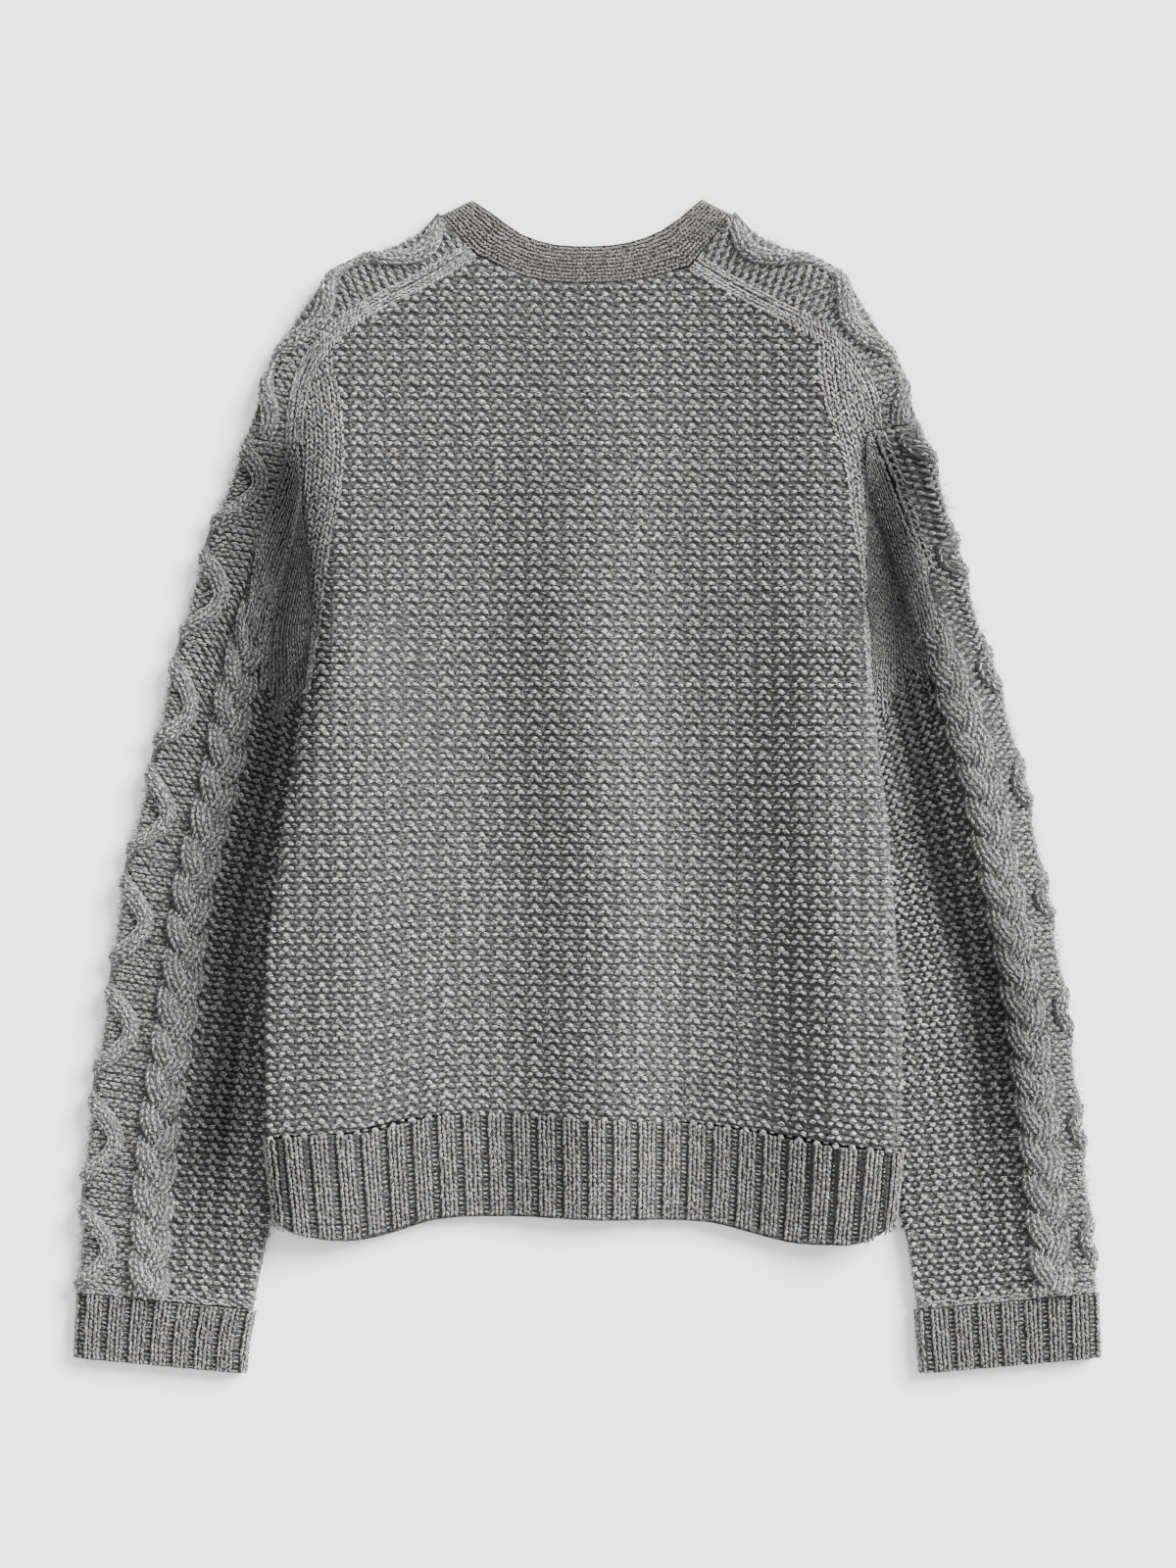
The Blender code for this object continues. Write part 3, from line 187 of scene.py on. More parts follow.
# ---- the stitches, mm ----------------------------------------------------
WALE = 5.25           # from one column of the waffle stitch to the next
PAIR = 7.2            # two courses of it
SLEEVE_WALE = 4.85    # the same on the sleeves
SLEEVE_PAIR = 7.1
LEG = 2.63            # from one leg of a V stitch to the next
COURSE = 3.5          # of plain V stitches
V_SIZE = (2.7, 1.02, 1.3)     # half length, half width and height of a leg of it
V_LEAN = 0.42         # how far such a leg leans, radians
RIB_COURSE = 2.6      # of the V stitches on a rib
RIB_LEAN = 0.38
GROOVE_BUMP = (1.6, 0.72, 0.5)
STRAND_COURSE = 3.6   # of the V stitches on a strand of a cable
STAR_TILT = 0.34      # how far the feet of a star of the waffle stitch tilt, radians
STAR = {              # its parts: half length in columns, half width in pairs of courses, height
    "foot": (0.48, 0.19, 2.4),
    "crest": (0.46, 0.25, 3.0),
    "low": (0.34, 0.13, 1.6),
}
TURN_SPREAD = 0.08    # how unevenly the stitches are turned, sized and placed
SIZE_SPREAD = (0.06, 0.07, 0.1)
PLACE_SPREAD = 0.18
HEM_RIB = ((0.24, 0.413, 0.587, 0.76), (1.95, 1.05, 1.3))      # places and size of a ridge's legs
CUFF_RIB = ((0.22, 0.407, 0.593, 0.78), (1.95, 0.95, 1.2))
HEM_MEAN = -204.0     # y about which the hem's seam swings
HEM_DEPTH = 58.0      # from the hem's seam to its edge
FINE_ROW = 2.1        # rows along the neckband
FINE_STITCH = 2.0     # from one stitch to the next along a row
FINE_SIZE = (1.45, 0.8, 0.8)
FINE_LEAN = 0.42
PURL = 5.0            # from one purl bump to the next, along a course
PURL_ROW = 2.5        # from one row of them to the next
PLAIT_PERIOD = 68.0   # each of three strands comes round once
PLAIT_SWING = 6.7     # how far a strand swings from the plait's middle
STRAND = 6.3          # half the width of a strand of the plait
WAVE_HALF = 4.9       # half the width of the wave's strand
PLAIT_STARTS = {"left": 60.0, "right": 78.0}
CHAIN_STITCH = 5.2    # length of a chain stitch on the shoulder
CHAIN_ROWS = (7.6, 5.6, 2.8, 0.8, -1.4)       # how far its rows are from the seam
CHAIN_LEAN = 0.28
SHOULDER_WAVE = 7.7   # how far in from the fold the wave over a shoulder runs, and its swing
SHOULDER_SWING = 7.0
SHOULDER_CREST = 26.0      # from a crest of it to the neck, and from crest to crest
SHOULDER_PERIOD = 76.0
FIBRE = 0.14          # half the width of a loose fibre
# The cloth's dark colour under the stitches is painted shade between them; its bare edges are lifted out
# of it.
EDGE_LIGHT = 3.0      # how much lighter a cloth's bare edges are than what its stitches cover
SUNK = 0.7            # how far the cloth lies under the feet of the stitches
CAMERA_HEIGHT = 2.6   # m above the cloth
CAMERA_AT = (0.0006, 0.0012)       # m, the place that it looks down on
CLOTH_HEIGHT = 0.012  # m, where the picture's scale holds
FRAME_HEIGHT = 0.934  # m of the floor that the picture takes in, upwards
FLOOR = 4.0           # m from the middle of the floor to its edge
WINDOW_WAY = (1.0, 0.75, 0.85)     # toward the soft light
WINDOW_SPREAD = 0.55  # radians that it spans in the sky
WINDOW_POWER = 11.0   # strength of the soft light
ROOM_LIGHT = 1.5      # strength of the light from all round
# The second slot's yarn is the chunky yarn made darker: painted shade for stitches that lie deeper.
YARN = 0              # slots of a chunky piece: the yarn, the yarn lying deeper, a strand's body
SHADE_PAINTED_YARN = 1
STRAND_CLOTH = 2
YARNS = {             # dark, middle and light fibres, and how coarse their pattern is
    "chunky_yarn": ((0.018, 0.018, 0.019), (0.132, 0.132, 0.131), (0.465, 0.465, 0.462), 1.05),
    # the chunky yarn made darker: painted shade on sunken bumps and purl
    "shade_painted_yarn": ((0.018, 0.018, 0.018), (0.11, 0.11, 0.108), (0.37, 0.37, 0.366), 1.05),
    # the chunky yarn made darker: painted shade over the hem and cuff ribs
    "shade_painted_rib_yarn": ((0.014, 0.014, 0.014), (0.09, 0.089, 0.087), (0.31, 0.308, 0.302), 1.05),
    "fine_yarn": ((0.012, 0.0115, 0.011), (0.085, 0.083, 0.078), (0.27, 0.264, 0.25), 1.5),
}
# Knit, rib and fine cloth are darker than their yarn: painted shade in the gaps between stitches.
CLOTHS = {            # colour, and the pitch of its columns and of its rows
    "knit_cloth": ((0.08, 0.08, 0.079), 5.2, 1.8),
    "rib_cloth": ((0.055, 0.055, 0.054), 5.2, 1.8),
    "strand_cloth": ((0.15, 0.15, 0.148), 5.2, 1.8),
    "fine_cloth": ((0.055, 0.054, 0.051), 2.0, 2.1),
}
ROLLS = (             # x, height and half width of the soft rolls and hollows along the back
    (-150.0, 3.0, 30.0),
    (-60.0, -2.6, 32.0),
    (0.0, 3.2, 28.0),
    (55.0, -3.8, 32.0),
    (136.0, 4.2, 28.0),
)
HOLLOW_LEFT = (       # x, y of the hollow where each sleeve meets the body, upwards
    (-219.0, -232.0), (-212.0, -162.0), (-209.0, -92.0), (-197.0, -22.0),
    (-186.0, 48.0), (-180.0, 118.0), (-180.0, 223.0),
)
HOLLOW_RIGHT = (
    (251.0, -267.0), (240.0, -197.0), (234.0, -127.0), (211.0, -57.0),
    (196.0, 13.0), (187.0, 83.0), (179.0, 188.0),
)
HOLLOWS = {"left": HOLLOW_LEFT, "right": HOLLOW_RIGHT}
HOLLOW_HALF = 21.0    # half the width of a hollow, toward its sleeve
HOLLOW_DEPTH = 5.5
HOLLOW_FADE = (-290.0, 190.0, 110.0, 130.0)   # lowest y, span of fading in, highest y, span out
RIM_HEIGHT = 2.0      # of the soft rim along the folded sides of the body
FALL_LIGHT = 1.3      # how much a slope toward the light gains in tone
SHADOWS = {           # depth, reach over the sleeve, lowest y, span of fading in, highest y
    "left": (0.93, 39.0, -310.0, 110.0, 180.0),
    "right": (0.88, 30.0, -330.0, 190.0, 180.0),
}
SHADES = (            # softer shadows: x, y, half width, half height, depth
    (-164.0, 140.0, 17.0, 95.0, 0.68),
    (166.0, 105.0, 15.0, 55.0, 0.4),
)
WAFFLE_LEFT = (       # x, y of the waffle's border on the back, upwards
    (-165.0, 60.0), (-160.0, 90.0), (-154.0, 140.0), (-147.0, 176.0),
    (-148.0, 234.0), (-152.0, 250.0),
)
WAFFLE_RIGHT = (
    (167.0, 60.0), (162.8, 131.0), (158.0, 159.0), (153.5, 194.0),
    (140.7, 234.0), (138.0, 250.0),
)


# ---- curves --------------------------------------------------------------
def smoothstep(t):
    t = np.clip(t, 0.0, 1.0)
    return t * t * (3.0 - 2.0 * t)


def mix(a, b, t):
    return a + (b - a) * t


def read(table, at, key=0, value=1):
    """Smooth reading of one column of a table against another."""
    rows = np.array(sorted((row[key], row[value]) for row in table))
    xs, ys = rows[:, 0], rows[:, 1]
    slope = np.gradient(ys, xs)
    at = np.clip(np.asarray(at, float), xs[0], xs[-1])
    k = np.clip(np.searchsorted(xs, at) - 1, 0, len(xs) - 2)
    step = xs[k + 1] - xs[k]
    t = (at - xs[k]) / step
    start = (2 * t**3 - 3 * t**2 + 1) * ys[k] + (t**3 - 2 * t**2 + t) * step * slope[k]
    end = (3 * t**2 - 2 * t**3) * ys[k + 1] + (t**3 - t**2) * step * slope[k + 1]
    return start + end


def lengths(points):
    steps = np.linalg.norm(np.diff(points, axis=0), axis=1)
    return np.concatenate([[0.0], np.cumsum(steps)])


def along(points, fractions):
    """Points at the given fractions of the length of a smooth curve."""
    points = np.asarray(points, float)
    at = lengths(points)
    fine = np.linspace(0.0, at[-1], 40 * len(points))
    table_x = np.column_stack([at, points[:, 0]])
    table_y = np.column_stack([at, points[:, 1]])
    curve = np.column_stack([read(table_x, fine), read(table_y, fine)])
    run = lengths(curve)
    want = np.asarray(fractions) * run[-1]
    return np.column_stack([np.interp(want, run, curve[:, k]) for k in (0, 1)])


def pushed(points, distance):
    """The same row of plan points moved sideways, to the left of their direction."""
    heading = np.gradient(points, axis=0)
    heading /= np.linalg.norm(heading, axis=1)[:, None]
    return points + distance * np.column_stack([-heading[:, 1], heading[:, 0]])


def polyline(points, fractions):
    run = lengths(points)
    want = np.asarray(fractions) * run[-1]
    return np.column_stack([np.interp(want, run, points[:, k]) for k in (0, 1)])


# ---- the shape of the laid-out panels ------------------------------------
def body_edge(side, y):
    return read(BODY_SIDE, y, 0, SIDES[side]["column"])


def sleeve_inside(side, y):
    return read(SLEEVE_INSIDE, y, 0, SIDES[side]["column"])


def climb(y):
    """0 at the armhole, 1 where the body lies on the tucked sleeve."""
    return smoothstep((UNDERARM_Y + 6.0 - y) / RISE)


def lift(x, y):
    """Height of the underside of the fronts above the ground."""
    total = 0.0
    for side, data in SIDES.items():
        edge = body_edge(side, y)
        inward = data["sign"] * (edge - x)
        tuck = np.maximum(data["sign"] * (edge - sleeve_inside(side, y)), 0.0)
        total = total + LIFT * climb(y) * (1.0 - smoothstep((inward - tuck + 1.0) / LIFT_SPAN))
    return total


def nearest_edge(x, y):
    return np.minimum(x - body_edge("left", y), body_edge("right", y) - x)


def neck_opening(side, y):
    """Distance of a front's edge from the middle: straight, then up the V neck."""
    end_x, end_y = SIDES[side]["shoulder"][-1]
    slope = np.clip((y - V_POINT_Y) / (end_y - V_POINT_Y), 0.0, 1.0)
    return mix(BAND_HALF + SEAM, abs(end_x), slope)


def apart(y):
    """0 where the front bands overlap, 1 where each lies on the ground."""
    return smoothstep((y - APART_Y) / APART_SPAN)


def back_top(x, y):
    """Height of the outer surface of the back."""
    air = LAYERS + SIDE_AIR * (1.0 - smoothstep((nearest_edge(x, y) - 14.0) / 60.0))
    opening = neck_opening("right", y)
    beside_bands = smoothstep((np.abs(x) - opening - 0.6) / 45.0)
    over_bands = BAND_RISE * (1.0 - beside_bands) * (1.0 - apart(y))
    sag = NECK_DIP * smoothstep((y - 190.0) / 110.0) * np.exp(-2.3 * (x / opening) ** 2)
    return lift(x, y) + 2.0 * KNIT + air + over_bands - sag


def top_line_y(x):
    """The upper edge of the back: shoulder seam, neck seam, shoulder seam."""
    if NECK_SEAM[0][0] <= x <= NECK_SEAM[-1][0]:
        return float(read(NECK_SEAM, x))
    chain = CHAIN_LEFT if x < 0.0 else CHAIN_RIGHT[::-1]
    curve = along(chain, np.linspace(0.0, 1.0, 200))
    return float(np.interp(x, curve[:, 0], curve[:, 1]))


def rib_relief(distance, pitch):
    """Flat-topped ridges along a rib, 0 to 1."""
    phase = (distance / pitch) % 1.0
    return smoothstep((0.5 - np.abs(phase - 0.5)) / 0.22)


def shoulder_turn(side, fractions):
    """Plan of the fold over the shoulder: its line, the way across, and the width."""
    data = SIDES[side]
    fold_line = along(data["shoulder"], fractions)
    chain = pushed(along(data["chain"], fractions), -SEAM * data["sign"])
    chain[-1] = chain[-1] + np.array([data["sign"] * 0.5, 0.3])
    across = chain - fold_line
    width = np.linalg.norm(across, axis=1)
    return fold_line, across / width[:, None], width


def wave_middle(side, y):
    """How far the middle of the wave strand is round from the outer edge."""
    data = SIDES[side]
    swing = 0.5 + 0.5 * np.cos(2.0 * np.pi * (y - data["wave_top"]) / data["wave_pitch"])
    return mix(data["wave_low"], data["wave_high"], swing)


def sleeve_height(side, a, b, taper):
    """Height of the upper layer: a from the outer edge, b from the inner one."""
    plait = SIDES[side]["plait"]
    crown = SLEEVE_CROWN - CROWN_FALL * taper
    rise = mix(2.0 * SLEEVE_ROLL, crown, smoothstep((a - 6.0) / (plait - 20.0)))
    fallen = mix(rise, 2.0 * SLEEVE_INNER, smoothstep((a - plait) / 36.0))
    return mix(2.0 * SLEEVE_INNER, fallen, smoothstep(b / 20.0))


def sleeve_edges(side):
    """Plan points of the outer edge and of the middle of the inner fold, row by row."""
    outside = [row for row in SIDES[side]["outside"] if row[1] > -303.0]
    outer = along(outside, np.linspace(0.0, 1.0, SLEEVE_ROWS) ** 0.94)
    ys = np.linspace(UNDERARM_Y, -312.2, SLEEVE_ROWS)
    edge = np.column_stack([sleeve_inside(side, ys), ys])
    edge = polyline(edge, np.linspace(0.0, 1.0, SLEEVE_ROWS) ** 1.25)
    folds = pushed(edge, SLEEVE_INNER * SIDES[side]["sign"])
    return outer, folds, (edge - folds) / SLEEVE_INNER


def armhole_curves(side):
    """Upper and lower edge of the sleeve at the armhole, and where the upper one turns."""
    data = SIDES[side]
    sign = data["sign"]
    start = np.array(data["shoulder"][0]) + np.array([0.0, -SEAM])
    corner = np.array([data["chain"][0][0] + sign * 1.2, data["chain"][0][1] - SEAM])
    end = sleeve_edges(side)[1][0]
    ys = np.linspace(corner[1] - 6.0, UNDERARM_Y + 8.0, 9)
    cut_back = BODY_ROLL * (1.0 - np.sin(np.radians(50.0))) - SEAM
    seam = np.column_stack([body_edge(side, ys) - sign * cut_back, ys])
    upper = np.vstack([start, corner, seam, end])
    ys = np.linspace(start[1], UNDERARM_Y + 2.0, 16)
    front = np.column_stack([read(data["armhole"], ys, 1, 0), ys])
    lower = np.vstack([start, pushed(front, 2.4 * SEAM * sign)[1:], end])
    turn = np.linalg.norm(corner - start) / lengths(upper)[-1]
    return upper, lower, turn


class Ring:
    """One section of a sleeve, between an outer and an inner edge point."""

    def __init__(self, side, row, start, end, aside, curves):
        self.side, self.row, self.start, self.end, self.aside = side, row, start, end, aside
        self.upper, self.lower, self.turn = curves
        t = row / (SLEEVE_ROWS - 1.0)
        self.taper = smoothstep((t - 0.8) / 0.2) + 0.8 * (1.0 - smoothstep(t / 0.12))
        self.reach = smoothstep((row - 3.0) / 9.0)
        self.bow = self.bowed(0.0)
        self.width = np.linalg.norm(end - start)
        chord = (end - start) / self.width
        head = self.upper[1] - self.upper[0]
        ahead = mix(chord, head / np.linalg.norm(head), self.bow)
        self.ahead = ahead / np.linalg.norm(ahead)

    def bowed(self, t):
        """How much the armhole still bends a row; this ends first by the inner fold."""
        return 1.0 - smoothstep(self.row / mix(38.0, 5.0, t))

    def plan(self, distance, curve, turn):
        """Place in plan, a distance across; the armhole curve bends the first rows."""
        split = SIDES[self.side]["plait"] - PLAIT_HALF - 2.0
        if distance < split:
            turned = turn * distance / split
        else:
            turned = mix(turn, 1.0, (distance - split) / (self.width - split))
        t = mix(distance / self.width, turned, self.bow)
        bent = polyline(curve, [t])[0] - mix(curve[0], curve[-1], t)
        return mix(self.start, self.end, t) + self.bowed(t) * bent

    def outer_fold(self, way):
        angle = way / SLEEVE_ROLL
        out = np.append(-self.ahead * np.cos(angle), np.sin(angle))
        return np.append(self.start + self.ahead * SLEEVE_ROLL, SLEEVE_ROLL) + SLEEVE_ROLL * out

    def inner_fold(self, past):
        """A point round the inner fold, which is pressed flat at the armhole."""
        turn = min(past / SLEEVE_INNER, 2.2)
        out = SLEEVE_INNER * self.reach * np.sin(turn)
        return np.append(self.end + self.aside * out, SLEEVE_INNER * (1.0 + np.cos(turn)))

    def across(self, way):
        """The point a way in from the middle of the outer fold."""
        distance = way - QUARTER + SLEEVE_ROLL
        if way < -QUARTER:
            return np.append(self.plan(SLEEVE_ROLL - QUARTER - way, self.lower, 0.3), 0.0)
        if distance > self.width:
            return self.inner_fold(distance - self.width)
        if way <= QUARTER:
            return self.outer_fold(way)
        height = sleeve_height(self.side, distance, self.width - distance, self.taper)
        return np.append(self.plan(distance, self.upper, self.turn), float(height))


def front_end(side):
    """The end of a front at the neck, from its fold to the seam of the back."""
    fold_line, across, width = shoulder_turn(side, (0.0, 1.0))
    return fold_line[-1], fold_line[-1] + across[-1] * width[-1]


def neck_paths():
    """The seam and the free edge of the neckband, with matching points."""
    left_fold, left_seam = front_end("left")
    right_fold, right_seam = front_end("right")
    xs = np.linspace(NECK_SEAM[0][0], NECK_SEAM[-1][0], NECK_COLUMNS)
    back = np.column_stack([xs, read(NECK_SEAM, xs)])
    share = np.array([0.0, 0.25, 0.6])[:, None]
    start = mix(left_fold, left_seam, share)
    finish = mix(right_fold, right_seam, share)[::-1]
    seam = np.vstack([start, back, finish])
    run = lengths(seam)
    seam = pushed(seam, SEAM)
    seam[3] = back[0] + np.array([0.3, 0.9])
    seam[-4] = back[-1] + np.array([-0.3, 0.9])
    return seam, along(NECK_EDGE, run / run[-1])


def band_line(path):
    """The neckband along one plan path: under, round the fold, across, and back under."""
    rounds = []
    for end, ahead in ((path[0], path[1] - path[0]), (path[-1], path[-2] - path[-1])):
        ahead = ahead / np.linalg.norm(ahead)
        centre = np.append(end + ahead * NECK_ROLL, NECK_ROLL)
        points = []
        for angle in np.radians((-90.0, -45.0, 0.0, 45.0, 90.0)):
            points.append(centre + NECK_ROLL * np.append(-ahead * np.cos(angle), np.sin(angle)))
        points.insert(0, points[0] + np.append(ahead * NECK_UNDER, 0.0))
        rounds.append(points)
    middle = [np.append(point, neckband_height(point)) for point in path[2:-2]]
    return rounds[0] + middle + rounds[1][::-1]


def neckband_height(point):
    return NECK_FLAT - NECK_SAG * np.exp(-(point[0] / 50.0) ** 2)


# ---- surfaces ------------------------------------------------------------
class Grid:
    """A surface read from a table of points; u runs over columns, v over rows."""

    def __init__(self, us, vs, points, up_u, up_v):
        self.us, self.vs, self.points = np.asarray(us), np.asarray(vs), np.asarray(points)
        self.sign = facing(self, up_u, up_v)

    def __call__(self, u, v):
        u, v = np.broadcast_arrays(u, v)
        x = np.interp(u, self.us, np.arange(len(self.us)))
        y = np.interp(v, self.vs, np.arange(len(self.vs)))
        i = np.clip(x.astype(int), 0, len(self.us) - 2)
        j = np.clip(y.astype(int), 0, len(self.vs) - 2)
        s, t = (x - i)[..., None], (y - j)[..., None]
        low = mix(self.points[j, i], self.points[j, i + 1], s)
        high = mix(self.points[j + 1, i], self.points[j + 1, i + 1], s)
        return mix(low, high, t)


def crossed(surface, u, v):
    reach = 0.6
    du = surface(u + reach, v) - surface(u - reach, v)
    dv = surface(u, v + reach) - surface(u, v - reach)
    n = np.cross(du, dv)
    return n / np.maximum(np.linalg.norm(n, axis=-1, keepdims=True), 1e-9)


def stretch(surface, u, v, du, dv):
    """Millimetres in space for each unit of u or of v."""
    step = surface(u + du, v + dv) - surface(u - du, v - dv)
    return np.clip(np.linalg.norm(step, axis=-1, keepdims=True), 0.35, 2.0)


def facing(surface, u, v):
    """1 or -1, so that the normal at a place known to look up does so."""
    return math.copysign(1.0, crossed(surface, np.array([u]), np.array([v]))[0, 2])


def normals(surface, u, v):
    return surface.sign * crossed(surface, u, v)


class Place:
    """A surface given by a function."""

    def __init__(self, function, up_u, up_v):
        self.function = function
        self.sign = facing(self, up_u, up_v)

    def __call__(self, u, v):
        return self.function(u, v)


def raised(surface, relief, up_u, up_v):
    """The same surface with a relief added along its normals."""
    def place(u, v):
        u, v = np.broadcast_arrays(u, v)
        return surface(u, v) + normals(surface, u, v) * relief(u, v)[..., None]
    return Place(place, up_u, up_v)


def back_at(u, v):
    """The back: u from its middle line, round the folded sides at their ends."""
    u, v = np.broadcast_arrays(np.asarray(u, float), np.asarray(v, float))
    edge = np.where(u < 0.0, body_edge("left", v), body_edge("right", v))
    sign = np.where(u < 0.0, -1.0, 1.0)
    middle = edge - sign * BODY_ROLL
    turn = np.clip(sign * (u - middle) / BODY_ROLL, 0.0, 2.6)
    x = np.where(turn > 0.0, middle + sign * BODY_ROLL * np.sin(turn), u)
    z = back_top(np.where(turn > 0.0, middle, u), v) - BODY_ROLL * (1.0 - np.cos(turn))
    return np.stack([x, v, z], -1)


def hem_middle(v):
    return (body_edge("left", v) + body_edge("right", v)) / 2.0


def hem_at(u, v):
    """The back's hem rib: u along the rib, v from its seam, 0, to its edge, 1."""
    u, v = np.broadcast_arrays(np.asarray(u, float), np.asarray(v, float))
    y = mix(HEM_TOP, HEM_LOW, v)
    wide = body_edge("right", HEM_TOP) - body_edge("left", HEM_TOP)
    narrow = (body_edge("right", y) - body_edge("left", y)) / wide
    x = hem_middle(y) + u * narrow
    inside = np.clip(x, body_edge("left", y), body_edge("right", y))
    return back_at(x, mix(read(HEM_SEAM, inside), read(HEM_EDGE, inside), v))


def sleeve_grid(side):
    """The upper side of a sleeve: u is the way in from its outer edge, v down it."""
    outer, inner, asides = sleeve_edges(side)
    curves = armhole_curves(side)
    outer[0] = curves[0][0]
    us = np.arange(-13.0, 118.0, 1.5)
    rows, widths = [], []
    for row, (start, end, aside) in enumerate(zip(outer, inner, asides)):
        ring = Ring(side, row, start, end, aside, curves)
        rows.append([ring.across(way) for way in us])
        widths.append(ring.width + QUARTER - SLEEVE_ROLL)
    rows = np.array(rows)
    plait = SIDES[side]["plait"]
    vs = lengths(rows[:, int(np.argmin(np.abs(us - plait)))])
    return Grid(us, vs, rows, plait, vs[40]), np.array(widths), vs


def shoulder_grid(side):
    """The strip over a shoulder: u along it to the neck, v the way across it."""
    fold_line, across, width = shoulder_turn(side, np.linspace(0.0, 1.0, 60))
    radius = SHOULDER / 2.0
    quarter = radius * np.pi / 2.0
    vs = np.arange(-9.0, 62.0, 1.0)
    rows = []
    seam = fold_line + across * width[:, None]
    seam_height = back_top(seam[:, 0], seam[:, 1])
    for way in vs:
        if way <= quarter:
            angle = way / radius
            plan = fold_line + across * (radius - radius * np.cos(angle))
            height = np.full(len(plan), radius + radius * np.sin(angle))
        else:
            share = (way - quarter) / (width - radius)
            plan = fold_line + across * (radius + way - quarter)
            height = mix(SHOULDER, seam_height, smoothstep(share))
        rows.append(np.column_stack([plan, height]))
    run = lengths(fold_line)
    return Grid(run, vs, rows, 0.5 * run[-1], quarter + 4.0), width - radius + quarter, run


def neck_grid():
    """The neckband: u along it, v from its seam to its free edge."""
    seam, edge = neck_paths()
    shares = np.linspace(0.0, 1.0, 7)
    lines = np.array([band_line(mix(seam, edge, share)) for share in shares])
    us = lengths(lines[3])
    depth = lengths(lines[:, 12])[-1]
    return Grid(us, shares * depth, lines, 0.5 * us[-1], 0.5 * depth), us, depth


def cuff_grid(side):
    """A cuff: u round it from its outer edge, v from its seam to its end."""
    outside = [row for row in SIDES[side]["outside"] if row[1] < -300.0]
    rows = []
    for v in np.linspace(0.0, 1.0, 5):
        outer_y = mix(*CUFF_OUTER, v)
        inner_y = mix(*CUFF_INNER, v)
        start = np.array([float(read(outside, outer_y, 1, 0)), outer_y])
        end = np.array([float(sleeve_inside(side, inner_y)), inner_y])
        rows.append(ring_points(start, end))
    us = lengths(rows[2])
    vs = lengths(np.array(rows)[:, 20])
    return Grid(us, vs, rows, 0.25 * us[-1], 0.5 * vs[-1]), us[-1], vs[-1]


def ring_points(start, end):
    """A flattened ring, from beneath its outer edge over the top and back."""
    radius = SLEEVE_INNER
    ahead = (end - start) / np.linalg.norm(end - start)
    points = []
    for corner, inward, first in ((start, ahead, -90.0), (end, -ahead, 90.0)):
        centre = np.append(corner + inward * radius, radius)
        for angle in np.radians(np.linspace(first, -first, 19)):
            points.append(centre + radius * np.append(-inward * np.cos(angle), np.sin(angle)))
    return np.array(points + points[:1])


class Strand:
    """A rounded strand that runs over a surface; u across it, v along it."""

    def __init__(self, base, middle, height, start, end, half, crown):
        self.base, self.middle, self.height = base, middle, height
        self.half, self.crown = half, crown
        self.at = np.linspace(start, end, 900)
        self.run = lengths(base(middle(self.at), self.at))
        self.sign = 1.0
        away = crossed(self, np.zeros(40), self.run[100:140])
        up = normals(base, middle(self.at[100:140]), self.at[100:140])
        self.sign = math.copysign(1.0, float((away * up).sum()))

    def __call__(self, u, v):
        u, v = np.broadcast_arrays(np.asarray(u, float), np.asarray(v, float))
        at = np.interp(v, self.run, self.at)
        middle = self.middle(at)
        slope = self.middle(at + 0.5) - self.middle(at - 0.5)
        size = np.sqrt(1.0 + slope**2)
        points = self.base(middle + u / size, at - u * slope / size)
        up = normals(self.base, middle, at)
        bulge = np.sqrt(np.clip(1.0 - (u / self.half) ** 2, 0.0, 1.0))
        bulge = bulge * (0.6 + 0.4 * smoothstep(up[..., 2] / 0.6))
        return points + up * (self.height(at) + self.crown * bulge)[..., None]


# ---- how the knit has settled, and its painted shading -------------------
def rolls_at(x, y):
    """Height of the soft rolls down the back."""
    sway = x + 8.0 * np.sin(y / 70.0)
    rolls = sum(high * np.exp(-(((sway - place) / half) ** 2)) for place, high, half in ROLLS)
    fade = smoothstep((y + 330.0) / 120.0) * (1.0 - 0.6 * smoothstep((y - 60.0) / 150.0))
    side = np.where(x < 0.0, body_edge("left", y), body_edge("right", y))
    inside = np.clip(1.0 - np.abs(x) / np.abs(side), 0.0, 1.0)
    return rolls * fade * smoothstep(inside / 0.08)


def beside_body(x, y):
    """From 0 on the body to 1 outside of it."""
    side = np.where(x < 0.0, body_edge("left", y), body_edge("right", y))
    return smoothstep((np.abs(x) - np.abs(side) + 7.0) / 6.0)


def dimple(x, y, side, reach, low, span, high, ease):
    """From 0 to 1 along a hollow's line; it fades in from low upwards, and out from high."""
    away = SIDES[side]["sign"] * (x - read(HOLLOWS[side], y, 1, 0))
    half = np.where(away > 0.0, reach, 0.75 * HOLLOW_HALF)
    fade = smoothstep((y - low) / span) * (1.0 - smoothstep((y - high) / ease))
    return np.exp(-((away / half) ** 2)) * fade


def hollow_at(x, y):
    """From 0 to 1 in the hollows between the body and the sleeves."""
    deep = [dimple(x, y, side, HOLLOW_HALF, *HOLLOW_FADE) for side in SIDES]
    return np.maximum(*deep) * beside_body(x, y)


def shadow_at(x, y):
    """From 0 to 1 where little light reaches: in the hollows and on each sleeve's inner half."""
    dark = []
    for side, (depth, reach, low, span, high) in SHADOWS.items():
        dark.append(depth * dimple(x, y, side, reach, low, span, high, 70.0))
    return np.maximum(*dark) * beside_body(x, y)


